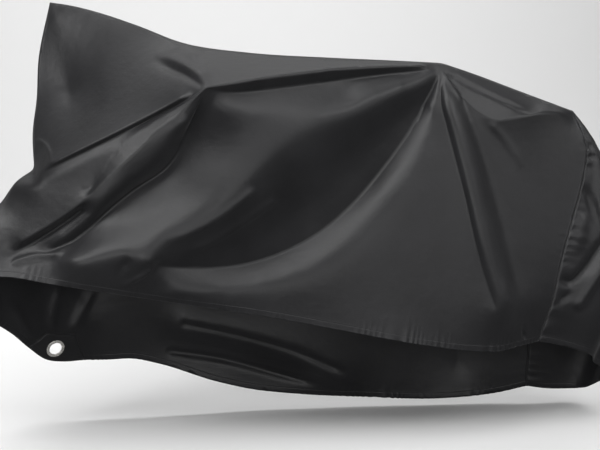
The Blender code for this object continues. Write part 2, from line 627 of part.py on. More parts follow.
def build():
    clear_scene()
    crown = join_runs(*(run_through(run, NEAR_MESH) for run in
                        (NOSE_RUN, FRONT_RUN, TOP_FRONT_RUN, TOP_REAR_RUN)))
    near_seam = run_through(NEAR_SEAM_RUN, NEAR_MESH)
    far_seam = run_through(FAR_SEAM_RUN, FINE_STEP)
    far_seam = far_seam[np.linspace(0, len(far_seam) - 1, len(near_seam)).round().astype(int)]
    near_loop = join_runs(crown, near_seam, run_through(NEAR_HEM_RUN, NEAR_MESH))[:-1]
    far_loop = join_runs(crown, far_seam, run_through(FAR_HEM_RUN, FAR_MESH))[:-1]

    patch_edge = run_through((on_patch(*PATCH_FRONT), on_patch(*PATCH_TOP[0])), FAR_MESH)
    patch_edge = join_runs(
        patch_edge,
        run_through((on_patch(*PATCH_TOP[0]), on_patch(*PATCH_TOP[1])), FAR_MESH),
        run_through((on_patch(*PATCH_TOP[1]), on_patch(*PATCH_REAR)), FAR_MESH))
    patch_loop = np.vstack([patch_edge[:, :2], [(EYELET_X, EYELET_Z - BELOW_HEM)]])
    hole = circle(EYELET_HOLE)

    near = side_panel(near_loop, NEAR_FOLDS, -1, NEAR_MESH)
    far = side_panel(far_loop, FAR_FOLDS, 1, FAR_MESH,
                     flat_lines=(patch_edge, hole, circle(PATCH_FRAME)),
                     flat_loop=patch_loop, hole=hole[:-1])
    rear = rear_panel(near_seam, far_seam)

    far_points, far_faces = far
    in_patch = inside(far_points[far_faces].mean(axis=1)[:, [0, 2]], patch_loop)
    points, faces = weld({"near_side_panel": near,
                          "far_side_panel": (far_points, far_faces[~in_patch]),
                          "eyelet_patch": (far_points, far_faces[in_patch]),
                          "rear_panel": rear})
    normals = outward(points, list(faces.values()))
    owners = np.zeros(len(points), int)
    for own in faces.values():
        owners[np.unique(own)] += 1
    for name, own in faces.items():
        material = INNER_CLOTH if name == "eyelet_patch" else BLACK_CLOTH
        cloth_solid(name, points, normals, own, owners > 1, material)
    eyelet_ring()


build()
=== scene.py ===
# %% [markdown]
# # A cloth cover for a bicycle
#
# A bicycle cover is thin coated polyester, sewn from two large side panels and a rear
# panel.  It hangs from a few hard points: the two grips of the handlebar, the saddle
# and the back wheel.  Everything that makes it look like cloth comes from how it is
# pulled between those points, so this lesson makes the cloth as a stretched sheet
# and spends its effort on folds, hems, gathers and a satin finish.

import math
from collections import namedtuple

import bpy
import numpy as np
from mathutils import Matrix, Vector
from mathutils.geometry import delaunay_2d_cdt


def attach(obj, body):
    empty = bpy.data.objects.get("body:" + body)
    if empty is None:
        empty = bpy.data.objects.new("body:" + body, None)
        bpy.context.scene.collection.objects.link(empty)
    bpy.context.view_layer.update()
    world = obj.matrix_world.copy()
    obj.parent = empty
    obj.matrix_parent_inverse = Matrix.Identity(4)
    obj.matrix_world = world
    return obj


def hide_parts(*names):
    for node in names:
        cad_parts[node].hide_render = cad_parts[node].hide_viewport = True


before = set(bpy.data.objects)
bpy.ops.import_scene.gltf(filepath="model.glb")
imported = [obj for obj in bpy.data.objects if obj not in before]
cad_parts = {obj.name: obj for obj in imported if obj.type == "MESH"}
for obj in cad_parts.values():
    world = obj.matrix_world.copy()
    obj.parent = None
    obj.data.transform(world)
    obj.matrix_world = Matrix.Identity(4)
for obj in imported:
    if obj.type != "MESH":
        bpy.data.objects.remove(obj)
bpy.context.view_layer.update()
print("solids to dress:", ", ".join(sorted(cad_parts)))

# %% [markdown]
# ## The camera
#
# A long lens at about saddle height stands off the front wheel, looks a little down
# and turns a little towards the back wheel.  A camera could be moved by hand until the
# view looks right.  Here it is set from two angles, a distance and a height, because
# such a view can be told in words, and it comes first because it decides which folds
# matter.

# %% Camera
EYE_TURN, EYE_TILT = math.radians(8.0), math.radians(10.2)
EYE_BACK, EYE_LEFT, EYE_HEIGHT = 3.5, 0.4075, 0.159
LENS_MM, SENSOR_MM = 72.42, 36.0


def add_to_scene(name, data):
    """An object that puts the data in the scene; data alone is never seen."""
    item = bpy.data.objects.new(name, data)
    bpy.context.scene.collection.objects.link(item)
    return item


def place_camera():
    """A camera that looks along the turned and tilted axis, with no shift."""
    level = Vector((math.sin(EYE_TURN), math.cos(EYE_TURN), 0.0))
    right = Vector((math.cos(EYE_TURN), -math.sin(EYE_TURN), 0.0))
    ahead = level * math.cos(EYE_TILT) + Vector((0.0, 0.0, -math.sin(EYE_TILT)))
    up = right.cross(ahead)
    spot = -EYE_BACK * level - EYE_LEFT * right + Vector((0.0, 0.0, EYE_HEIGHT))
    camera = add_to_scene("camera", bpy.data.cameras.new("camera"))
    camera.data.lens, camera.data.sensor_width = LENS_MM, SENSOR_MM
    turn = Matrix((right, up, -ahead)).transposed().to_4x4()
    camera.matrix_world = Matrix.Translation(spot) @ turn
    bpy.context.scene.camera = camera


place_camera()
print("camera looks", round(math.degrees(EYE_TILT), 1), "degrees down")

# %% [markdown]
# ## Seams and hems as rows of stations
#
# The real cover is two side panels sewn together along the crown, and a rear panel
# let in between them.  Each seam and hem is drawn in side view as a row of stations,
# and each station says how far out the cloth stands there.  The fall of the cloth over
# a bicycle could be simulated instead, but then seams and folds land where the solver
# likes.  Rows of stations keep each one where the real cloth has it.

# %% Tips and corners, as (x, z, y) with y to the far side
FAR_GRIP = (-1.115, 0.175, 0.240)
SADDLE = (0.000, 0.003, 0.000)
REAR_CORNER = (0.400, -0.140, 0.000)
NOTCH = (-1.160, -0.285, 0.000)         # where the front panel meets the nose
NOSE = (-1.355, -0.580, -0.120)         # the lowest point of the front end
REAR_HEM = (0.280, -0.805, -0.110)      # the near panel's last point
FAR_REAR_HEM = (0.330, -1.020, 0.130)
print("from nose to rear corner:", round(REAR_CORNER[0] - NOSE[0], 3), "m")

# %% Seams, as (x, z, y)
NOSE_RUN = (NOSE, (-1.360, -0.510, -0.110), (-1.325, -0.430, -0.080),
            (-1.250, -0.370, -0.050), (-1.205, -0.310, -0.030), NOTCH)
FRONT_RUN = (NOTCH, (-1.165, -0.190, 0.060), (-1.155, -0.095, 0.130),
             (-1.150, 0.015, 0.190), FAR_GRIP)
TOP_FRONT_RUN = (FAR_GRIP, (-1.050, 0.165, 0.200), (-0.970, 0.145, 0.150),
                 (-0.865, 0.110, 0.090), (-0.730, 0.060, 0.010), (-0.555, 0.035, 0.000),
                 (-0.325, 0.020, 0.000), (-0.125, 0.010, 0.000), SADDLE)
TOP_REAR_RUN = (SADDLE, (0.085, -0.025, 0.000), (0.235, -0.080, 0.000), REAR_CORNER)
NEAR_SEAM_RUN = (REAR_CORNER, (0.415, -0.185, -0.025), (0.430, -0.245, -0.045),
                 (0.415, -0.330, -0.065), (0.375, -0.460, -0.090),
                 (0.345, -0.560, -0.105), (0.315, -0.695, -0.115), REAR_HEM)
FAR_SEAM_RUN = (REAR_CORNER, (0.415, -0.185, 0.025), (0.430, -0.260, 0.050),
                (0.405, -0.420, 0.085), (0.365, -0.620, 0.115), (0.340, -0.820, 0.130),
                FAR_REAR_HEM)
NEAR_HEM_RUN = (REAR_HEM, (0.215, -0.810, -0.135), (0.150, -0.815, -0.160),
                (0.055, -0.805, -0.180), (-0.100, -0.775, -0.200),
                (-0.325, -0.725, -0.200), (-0.525, -0.680, -0.200),
                (-0.735, -0.640, -0.200), (-0.960, -0.600, -0.190),
                (-1.115, -0.575, -0.170), (-1.250, -0.555, -0.150), NOSE)
REAR_OUTLINE = (REAR_CORNER, (0.440, -0.195, 0.000), (0.490, -0.295, 0.000),
                (0.550, -0.455, 0.000), (0.585, -0.655, 0.000), (0.590, -0.830, 0.010),
                (0.545, -0.960, 0.015))
print("the near hem is drawn with", len(NEAR_HEM_RUN), "stations")

# %% The flat patch for the eyelet, and the far hem that runs along it
EYELET_X, EYELET_Z, EYELET_Y = -1.130, -0.846, 0.155
PATCH_SLOPE_X, PATCH_SLOPE_Z = 0.45, -0.30      # how the flat patch leans
PATCH_FRONT, PATCH_REAR = (-1.205, -0.830), (-1.050, -0.900)
PATCH_TOP = ((-1.150, -0.790), (-1.070, -0.810))


def patch_y(x, z):
    """The eyelet patch is flat, so its plane follows from x and z."""
    return EYELET_Y + PATCH_SLOPE_X * (x - EYELET_X) + PATCH_SLOPE_Z * (z - EYELET_Z)


def on_patch(x, z):
    return (x, z, patch_y(x, z))


FAR_HEM_RUN = (FAR_REAR_HEM, (0.245, -1.040, 0.140), (0.055, -1.055, 0.150),
               (-0.185, -1.045, 0.170), (-0.385, -1.030, 0.180), (-0.540, -1.010, 0.190),
               (-0.650, -0.980, 0.190), (-0.820, -0.920, 0.200), (-0.900, -0.900, 0.200),
               (-0.980, -0.900, 0.200), on_patch(*PATCH_REAR), on_patch(-1.105, -0.895),
               on_patch(-1.155, -0.880), on_patch(*PATCH_FRONT), (-1.245, -0.775, 0.070),
               (-1.285, -0.725, 0.010), (-1.330, -0.650, -0.070), NOSE)
print("the far hem is drawn with", len(FAR_HEM_RUN), "stations")

# %% [markdown]
# ## The main folds
#
# On the real cover the grip and the saddle are two hard points, and every long fold
# starts at one of them and runs out into the cloth.  Folds could be painted on or
# sculpted, but a fold is a line with a height, so each is one more row of stations.
# A sharp crease and a soft swell differ only in how far their rounding reaches.

# %% Folds of the near panel, as (x, z, out) with out from the middle plane
# "reach" is how far a fold's rounding spreads to each side; a crease has none.
Fold = namedtuple("Fold", "name reach stations")
CREASE = 0.0
NEAR_GRIP = (-0.695, -0.047, 0.240)

NEAR_FOLDS = (
    Fold("cloth round the far grip", 0.020,
         ((-1.115, 0.175, -0.240), (-1.105, 0.145, -0.215), (-1.090, 0.095, -0.185),
          (-1.075, 0.030, -0.150), (-1.060, -0.080, -0.090))),
    Fold("ridge over the handlebar", 0.020,
         (NEAR_GRIP, (-0.690, -0.010, 0.190), (-0.700, 0.020, 0.125),
          (-0.715, 0.050, 0.045))),
    Fold("valley under the front panel", CREASE,
         (NEAR_GRIP, (-0.745, -0.080, 0.205), (-0.795, -0.110, 0.178),
          (-0.920, -0.175, 0.153), (-1.030, -0.230, 0.126), (-1.110, -0.270, 0.098),
          (-1.145, -0.285, 0.072))),
    Fold("edge of the front panel", CREASE,
         ((-0.748, -0.070, 0.213), (-0.799, -0.100, 0.189), (-0.924, -0.165, 0.163),
          (-1.034, -0.220, 0.136), (-1.112, -0.260, 0.106))),
    Fold("rolled edge under the valley", 0.010,
         ((-0.960, -0.215, 0.156), (-1.030, -0.252, 0.140), (-1.090, -0.282, 0.121),
          (-1.150, -0.307, 0.095), (-1.195, -0.322, 0.073))),
    Fold("upper edge of the bright facet", CREASE,
         (NEAR_GRIP, (-0.760, -0.095, 0.207), (-0.810, -0.125, 0.190),
          (-0.865, -0.160, 0.178), (-0.920, -0.205, 0.170), (-0.970, -0.270, 0.165),
          (-1.005, -0.325, 0.156))),
    Fold("band edge", CREASE,
         (NEAR_GRIP, (-0.760, -0.112, 0.215), (-0.815, -0.155, 0.205),
          (-0.865, -0.205, 0.200), (-0.920, -0.255, 0.195), (-0.975, -0.308, 0.185),
          (-1.020, -0.350, 0.174), (-1.110, -0.415, 0.149), (-1.200, -0.470, 0.128))),
    Fold("groove under the band edge", CREASE,
         ((-1.020, -0.370, 0.150), (-1.085, -0.420, 0.130), (-1.150, -0.462, 0.115),
          (-1.215, -0.500, 0.110))),
    Fold("lip of the deep fold", 0.008,
         (NEAR_GRIP, (-0.725, -0.115, 0.225), (-0.800, -0.205, 0.205),
          (-0.870, -0.275, 0.195), (-0.930, -0.330, 0.190), (-0.990, -0.380, 0.180),
          (-1.045, -0.425, 0.165), (-1.110, -0.465, 0.150))),
    Fold("bottom of the deep fold", CREASE,
         (NEAR_GRIP, (-0.735, -0.150, 0.180), (-0.770, -0.230, 0.152),
          (-0.800, -0.270, 0.142), (-0.870, -0.315, 0.142), (-0.945, -0.370, 0.147),
          (-1.010, -0.430, 0.144), (-1.075, -0.475, 0.136), (-1.130, -0.495, 0.132))),
    Fold("ridge to the saddle", CREASE,
         (NEAR_GRIP, (-0.630, -0.040, 0.213), (-0.545, -0.028, 0.182),
          (-0.435, -0.017, 0.143), (-0.315, -0.008, 0.103), (-0.165, -0.004, 0.056),
          (-0.055, -0.003, 0.021))),
    Fold("groove under that ridge", CREASE,
         (NEAR_GRIP, (-0.620, -0.062, 0.188), (-0.515, -0.057, 0.148),
          (-0.400, -0.047, 0.110), (-0.285, -0.036, 0.075), (-0.130, -0.023, 0.036),
          (-0.040, -0.018, 0.017))),
    Fold("swell below that ridge", 0.020,
         ((-0.650, -0.105, 0.222), (-0.515, -0.115, 0.182), (-0.400, -0.100, 0.146),
          (-0.285, -0.085, 0.106))),
    Fold("upper edge of the swag", 0.035,
         ((-0.045, -0.032, 0.036), (-0.140, -0.062, 0.080), (-0.260, -0.096, 0.125),
          (-0.380, -0.135, 0.165), (-0.495, -0.210, 0.200), (-0.565, -0.270, 0.218),
          (-0.620, -0.330, 0.226), (-0.690, -0.385, 0.230), (-0.765, -0.420, 0.231),
          (-0.840, -0.445, 0.230), (-0.910, -0.465, 0.224), (-0.985, -0.488, 0.214),
          (-1.060, -0.508, 0.205))),
    Fold("middle of the hollow", 0.040,
         ((-0.070, -0.095, 0.036), (-0.190, -0.170, 0.078), (-0.310, -0.240, 0.120),
          (-0.405, -0.305, 0.147), (-0.485, -0.365, 0.166), (-0.570, -0.420, 0.181),
          (-0.655, -0.462, 0.194), (-0.740, -0.485, 0.207))),
    Fold("bottom of the swag", CREASE,
         ((-0.012, -0.030, 0.017), (-0.050, -0.100, 0.024), (-0.095, -0.175, 0.042),
          (-0.180, -0.285, 0.068), (-0.270, -0.380, 0.094), (-0.365, -0.455, 0.117),
          (-0.480, -0.512, 0.134), (-0.600, -0.540, 0.156), (-0.710, -0.540, 0.180),
          (-0.790, -0.530, 0.198), (-0.845, -0.515, 0.225))),
    Fold("lower ridge of the swag", 0.035,
         ((-0.010, -0.030, 0.022), (-0.025, -0.080, 0.045), (-0.055, -0.175, 0.072),
          (-0.105, -0.255, 0.094), (-0.180, -0.340, 0.117), (-0.250, -0.420, 0.138),
          (-0.325, -0.488, 0.158), (-0.405, -0.538, 0.174), (-0.550, -0.583, 0.194),
          (-0.635, -0.597, 0.206), (-0.715, -0.600, 0.212), (-0.790, -0.592, 0.216))),
    Fold("swell before the groove", 0.015,
         ((-0.045, -0.110, 0.050), (-0.030, -0.190, 0.078), (-0.008, -0.285, 0.106),
          (0.018, -0.390, 0.129), (0.045, -0.500, 0.149), (0.070, -0.590, 0.163))),
    Fold("long ridge below the saddle", 0.008,
         ((0.000, -0.035, 0.024), (0.004, -0.090, 0.066), (0.022, -0.175, 0.101),
          (0.045, -0.270, 0.125), (0.070, -0.375, 0.147), (0.095, -0.490, 0.168),
          (0.118, -0.575, 0.179), (0.150, -0.680, 0.190))),
    Fold("groove before the long ridge", CREASE,
         ((-0.010, -0.055, 0.030), (-0.015, -0.100, 0.047), (0.000, -0.180, 0.078),
          (0.021, -0.275, 0.104), (0.045, -0.380, 0.127), (0.070, -0.500, 0.148),
          (0.094, -0.590, 0.161), (0.128, -0.690, 0.178))),
    Fold("shoulder of the long ridge", 0.006,
         ((-0.005, -0.055, 0.035), (-0.007, -0.095, 0.062), (0.010, -0.178, 0.096),
          (0.032, -0.273, 0.120), (0.056, -0.378, 0.142), (0.081, -0.494, 0.163),
          (0.105, -0.581, 0.174), (0.138, -0.685, 0.186))),
    Fold("flank behind the long ridge", 0.010,
         ((0.025, -0.090, 0.060), (0.047, -0.170, 0.090), (0.072, -0.270, 0.113),
          (0.098, -0.380, 0.135), (0.124, -0.500, 0.156), (0.148, -0.600, 0.169))),
    Fold("groove behind the long ridge", 0.015,
         ((0.045, -0.085, 0.046), (0.075, -0.160, 0.068), (0.105, -0.270, 0.088),
          (0.135, -0.380, 0.107), (0.165, -0.500, 0.128), (0.195, -0.630, 0.148))),
    Fold("rear edge of the saddle facet", CREASE,
         ((0.015, -0.022, 0.014), (0.045, -0.043, 0.024), (0.148, -0.091, 0.041),
          (0.250, -0.137, 0.052))),
    Fold("front edge of the saddle facet", CREASE,
         ((0.014, -0.035, 0.020), (0.048, -0.090, 0.048), (0.090, -0.133, 0.067),
          (0.135, -0.157, 0.077), (0.200, -0.152, 0.073), (0.290, -0.140, 0.056),
          (0.365, -0.146, 0.030))),
    Fold("knuckle", 0.010,
         ((-0.850, -0.508, 0.250), (-0.875, -0.523, 0.240), (-0.930, -0.563, 0.207))),
)
print("folds on the near panel:", len(NEAR_FOLDS))

# %% Folds of the far panel, as (x, z, out)
FAR_FOLDS = (
    Fold("front edge below the grip", 0.020,
         (FAR_GRIP, (-1.105, 0.145, 0.265), (-1.095, 0.080, 0.270),
          (-1.090, -0.080, 0.255), (-1.080, -0.300, 0.230), (-1.070, -0.520, 0.205),
          (-1.040, -0.700, 0.190))),
    Fold("ridge from the grip to the saddle", 0.020,
         ((-1.010, 0.090, 0.245), (-0.850, 0.010, 0.205), (-0.640, -0.045, 0.150),
          (-0.400, -0.055, 0.105), (-0.170, -0.040, 0.060))),
    Fold("upper edge of the swag", 0.020,
         ((-0.960, -0.020, 0.250), (-0.860, -0.180, 0.235), (-0.700, -0.290, 0.205),
          (-0.480, -0.290, 0.165), (-0.270, -0.180, 0.120), (-0.120, -0.085, 0.075))),
    Fold("bottom of the swag", CREASE,
         ((-0.060, -0.120, 0.045), (-0.160, -0.300, 0.060), (-0.320, -0.460, 0.090),
          (-0.540, -0.550, 0.125), (-0.780, -0.520, 0.170))),
    Fold("lower ridge of the swag", 0.020,
         ((-0.020, -0.130, 0.075), (-0.080, -0.350, 0.125), (-0.230, -0.560, 0.165),
          (-0.480, -0.700, 0.190), (-0.760, -0.690, 0.205))),
    Fold("long ridge below the saddle", CREASE,
         ((0.030, -0.130, 0.080), (0.070, -0.330, 0.130), (0.100, -0.560, 0.165),
          (0.115, -0.800, 0.180), (0.120, -0.960, 0.172))),
    Fold("dip behind the long ridge", 0.020,
         ((0.170, -0.250, 0.075), (0.215, -0.500, 0.115), (0.235, -0.760, 0.132))),
    Fold("upper of the slack folds by the hem", 0.018,
         ((-0.740, -0.800, 0.180), (-0.570, -0.840, 0.172), (-0.400, -0.895, 0.162),
          (-0.260, -0.960, 0.160))),
    Fold("groove between the slack folds", 0.018,
         ((-0.780, -0.845, 0.208), (-0.600, -0.885, 0.203), (-0.420, -0.945, 0.190))),
    Fold("nose fold", 0.020,
         ((-1.245, -0.460, 0.030), (-1.215, -0.570, 0.070), (-1.180, -0.690, 0.110))),
)
print("folds on the far panel:", len(FAR_FOLDS))

# %% [markdown]
# ## Curves through stations
#
# A seam on real cloth runs smoothly through the points that hold it.  A cubic Hermite
# curve keeps every station as one of its points, which a Bezier or a B-spline fitted
# to them would not.  How far a point lies from such a run, and where along it, decides
# later where the hem is thick, where the cloth is gathered and where stitches go.


# %% Runs
def lengths_of(run):
    """The length from each point of a run to the next."""
    return np.linalg.norm(np.diff(run, axis=0), axis=1)


def run_through(stations, spacing):
    """Points along a smooth curve that keeps every station as one of its points."""
    knots = np.array(stations, float)
    chords = lengths_of(knots)
    slopes = np.diff(knots, axis=0) / chords[:, None]
    tangents = np.vstack([slopes[:1], slopes[-1:]])
    if len(knots) > 2:
        share = (chords[1:] / (chords[:-1] + chords[1:]))[:, None]
        inner = share * slopes[:-1] + (1.0 - share) * slopes[1:]
        tangents = np.vstack([slopes[:1], inner, slopes[-1:]])
    points = [knots[0]]
    for i, chord in enumerate(chords):
        steps = max(1, round(chord / spacing))
        for k in range(1, steps + 1):
            t = k / steps
            points.append((2 * t**3 - 3 * t**2 + 1) * knots[i]
                          + (t**3 - 2 * t**2 + t) * chord * tangents[i]
                          + (3 * t**2 - 2 * t**3) * knots[i + 1]
                          + (t**3 - t**2) * chord * tangents[i + 1])
    return np.array(points)


def join_runs(*runs):
    """One open run from several that meet end to end."""
    return np.vstack([runs[0]] + [run[1:] for run in runs[1:]])


def shift_inward(run, distance, turn):
    """The run moved sideways in side view; turn is 1 or -1 for the side it moves to."""
    along = np.gradient(run[:, :2], axis=0)
    along /= np.linalg.norm(along, axis=1, keepdims=True)
    moved = run.copy()
    moved[:, :2] += distance * turn * np.column_stack([-along[:, 1], along[:, 0]])
    return moved


seam_length = lengths_of(run_through(NEAR_SEAM_RUN, 0.01)).sum()
print("the near rear seam is", round(float(seam_length), 2), "m long")


# %% Distances from a run, and which points a loop holds
def measure_from(points, run):
    """Each point's distance to a run, and how far along the run it is nearest."""
    start, step = run[:-1], np.diff(run, axis=0)
    length = np.linalg.norm(step, axis=1)
    travel = np.concatenate([[0.0], np.cumsum(length)])
    offset = points[:, None, :] - start[None]
    share = np.clip((offset * step).sum(-1) / np.maximum(length**2, 1e-12), 0, 1)
    gap = np.linalg.norm(offset - share[..., None] * step, axis=-1)
    nearest = gap.argmin(axis=1)
    rows = np.arange(len(points))
    return gap[rows, nearest], travel[nearest] + share[rows, nearest] * length[nearest]


def inside(points, loop):
    """Which of the points lie inside a closed loop, both in (x, z)."""
    x, z = points[:, 0][:, None], points[:, 1][:, None]
    x0, z0 = loop[:, 0], loop[:, 1]
    x1, z1 = np.roll(x0, -1), np.roll(z0, -1)
    rise = np.where(z1 == z0, 1e-12, z1 - z0)
    crosses = ((z0 > z) != (z1 > z)) & (x < (x1 - x0) * (z - z0) / rise + x0)
    return crosses.sum(axis=1) % 2 == 1


off_line, _ = measure_from(np.array([SADDLE]), np.array([FAR_GRIP, REAR_CORNER]))
print("the saddle lies", round(float(off_line[0]), 2), "m off a line from grip to corner")

# %% [markdown]
# ## A panel as a net of triangles
#
# A fold only looks crisp when the net has an edge along it.  A plain grid is simpler to
# make, but folds would cut across its squares.  A constrained Delaunay triangulation
# lays an even net of points over the panel and still keeps an edge along every seam
# and fold.

# %% Points for a net
# Free points keep this share of the spacing from every line, and from each other.
CLEAR_OF_LINES, APART = 0.58, 0.70
BESIDE_ROWS = 3                 # rows of points that run beside each fold
FINE_LINE = 1.5                 # a line this many times finer than the net has none


def beside(line, row, spacing):
    """Points in the row-th row to each side of a line, in step with equal triangles."""
    spots = line[:, :2] if row % 2 == 0 else 0.5 * (line[1:, :2] + line[:-1, :2])
    along = np.gradient(line[:, :2], axis=0) if row % 2 == 0 else np.diff(line[:, :2], axis=0)
    along /= np.linalg.norm(along, axis=1)[:, None]
    across = np.column_stack([-along[:, 1], along[:, 0]]) * row * spacing * math.sqrt(3) / 2
    return np.vstack([spots - across, spots + across])


def thin_out(points, apart):
    """The points that keep their distance from all points before them."""
    kept = np.zeros((0, 2))
    for point in points:
        if not len(kept) or np.abs(kept - point).max(axis=1).min() > apart or (
                np.square(kept - point).sum(axis=1).min() > apart ** 2):
            kept = np.vstack([kept, point])
    return kept


def free_points(loop, lines, spacing):
    """Points inside a loop, in rows beside its lines and evenly in between."""
    low, high = loop[:, :2].min(axis=0), loop[:, :2].max(axis=0)
    row_height = spacing * math.sqrt(3) / 2
    lattice = [(x + (row % 2) * spacing / 2, z)
               for row, z in enumerate(np.arange(low[1], high[1], row_height))
               for x in np.arange(low[0], high[0], spacing)]
    rows = [beside(line, row, spacing) for row in range(1, BESIDE_ROWS + 1) for line in lines
            if len(line) > 2 and spacing < FINE_LINE * lengths_of(line[:, :2]).mean()]
    spots = np.vstack(rows + [lattice])
    spots = spots[inside(spots, loop)]
    for line in [np.vstack([loop, loop[:1]])] + lines:
        gap, _ = measure_from(spots, line[:, :2])
        spots = spots[gap > CLEAR_OF_LINES * spacing]
    return thin_out(spots, APART * spacing)


square = np.array([(0.0, 0.0), (1.0, 0.0), (1.0, 1.0), (0.0, 1.0)])
print("a square with sides of four spacings has", len(free_points(square, [], 0.25)),
      "free points")


# %% Laying out a panel
SAME_SPOT = 1e-6                # points closer than this become one


def normals_of(points, faces):
    """Each triangle's normal, as long as twice its area."""
    corner = points[faces]
    return np.cross(corner[:, 1] - corner[:, 0], corner[:, 2] - corner[:, 0])


def lay_out(loop, lines, sharp_lines, spacing, hole=None):
    """Triangles of a panel in (x, z), with an edge along every line."""
    closed = np.vstack([loop, loop[:1]])
    points, pairs, pair_sharp, count = [], [], [], 0
    for line, sharp in zip([closed] + lines, [False] + sharp_lines):
        points.append(line[:, :2])
        pairs += [(count + i, count + i + 1) for i in range(len(line) - 1)]
        pair_sharp += [sharp] * (len(line) - 1)
        count += len(line)
    points = np.vstack(points + [free_points(loop, lines, spacing)])
    flat = [Vector((float(x), float(z))) for x, z in points]
    verts, edges, faces, sources, edge_from, _ = delaunay_2d_cdt(
        flat, pairs, [], 0, SAME_SPOT, True)
    creases = [edge for edge, found in zip(edges, edge_from)
               if any(pair_sharp[k] for k in found if k < len(pair_sharp))]
    verts = np.array([(v.x, v.y) for v in verts])
    faces = np.array(faces)
    middles = verts[faces].mean(axis=1)
    kept = inside(middles, loop)
    if hole is not None:
        kept &= ~inside(middles, hole)
    return verts, faces[kept], sources, creases


print("that square is laid out in", len(lay_out(square, [], [], 0.25)[1]), "triangles")

# %% [markdown]
# ## Pulling the cloth taut
#
# Between its folds, cloth under tension takes the shape with the least stretch and
# bending, much as a soap film does.  It could be sculpted by eye, but small dents would
# show in the satin.  The heights of the net are solved as a stretched and slightly
# stiff sheet.  Stiffness rounds the cloth between rows, and it is allowed to hinge
# where a fold is sharp.

# %% The taut sheet
FOLD_DRAW = 2.0e6               # how strongly a fold draws the cloth to its stations
SOLVED = 1e-15                  # share of the pull that may be left when it is taut


def pull_taut(verts, faces, height, hold, creased, on_rim, reach):
    """Heights of a stretched and slightly stiff sheet, by conjugate gradients."""
    count = len(verts)
    ends, others, weights, area = [], [], [], np.zeros(count)
    for turn in range(3):
        i, j, k = (faces[:, (turn + step) % 3] for step in range(3))
        to_i, to_j = verts[i] - verts[k], verts[j] - verts[k]
        twice_area = np.abs(to_i[:, 0] * to_j[:, 1] - to_i[:, 1] * to_j[:, 0])
        ends.append(i)
        others.append(j)
        weights.append(0.5 * (to_i * to_j).sum(axis=1) / np.maximum(twice_area, 1e-12))
        area += np.bincount(k, twice_area / 6.0, count)
    ends, others, weights = map(np.concatenate, (ends, others, weights))
    tension = weights * 0.5 * (reach[ends] ** -2 + reach[others] ** -2)

    def slope(values, share=weights):
        flow = share * (values[ends] - values[others])
        return np.bincount(ends, flow, count) - np.bincount(others, flow, count)

    bend = np.where(creased | on_rim, 0.0, 1.0 / np.maximum(area, 1e-9))
    fixed = hold >= 1.0
    free = ~fixed & (area > 0)
    draw = np.where(fixed, 0.0, hold) * FOLD_DRAW

    def stretch(values):
        bent = slope(bend * slope(values))
        return np.where(free, bent + slope(values, tension) + draw * values, 0.0)

    answer = np.where(hold > 0, height, height[fixed].mean())
    rest = np.where(free, draw * height, 0.0) - stretch(answer)
    step, size = rest.copy(), float(rest @ rest)
    start = size
    while size > SOLVED * start:
        pulled = stretch(step)
        share = size / float(step @ pulled)
        answer += share * step
        rest -= share * pulled
        size, last = float(rest @ rest), size
        step = rest + size / last * step
    return answer


# %% The rows that hold a side panel
FOLD_END = 0.07                 # length over which a fold's end lets go of the cloth
WEAK_HOLD, FULL_HOLD = 0.02, 0.99       # how hard a fold holds it there and elsewhere
OPEN_REACH = 0.018              # how far bending spreads in the open cloth


def rows_of(loop, folds, side, spacing, free_lines, flat_lines):
    """A panel's lines, how hard each of their points is held, and which are sharp."""
    rows = [np.vstack([loop, loop[:1]]), *flat_lines, *free_lines]
    sharp = [False] + [True] * len(flat_lines) + [False] * len(free_lines)
    hold = [np.full(len(row), float(k <= len(flat_lines))) for k, row in enumerate(rows)]
    for fold in folds:
        line = run_through(fold.stations, spacing)
        line[:, 2] *= side
        to_end = np.concatenate([np.cumsum(lengths_of(line)[::-1])[::-1], [0.0]])
        rows.append(line)
        hold.append(np.clip(to_end / FOLD_END, WEAK_HOLD, FULL_HOLD))
        sharp.append(fold.reach == CREASE)
    return rows, hold, sharp


def reach_at(verts, folds):
    """How far bending spreads from each point: less by a fold than in open cloth."""
    reach = np.full(len(verts), OPEN_REACH)
    for fold in folds:
        if fold.reach != CREASE:
            gap, _ = measure_from(verts, np.array(fold.stations)[:, :2])
            share = np.clip(gap / (2.0 * fold.reach), 0.0, 1.0) ** 2
            near = fold.reach + (OPEN_REACH - fold.reach) * share
            reach = np.where(share < 1.0, near, reach)
    return reach


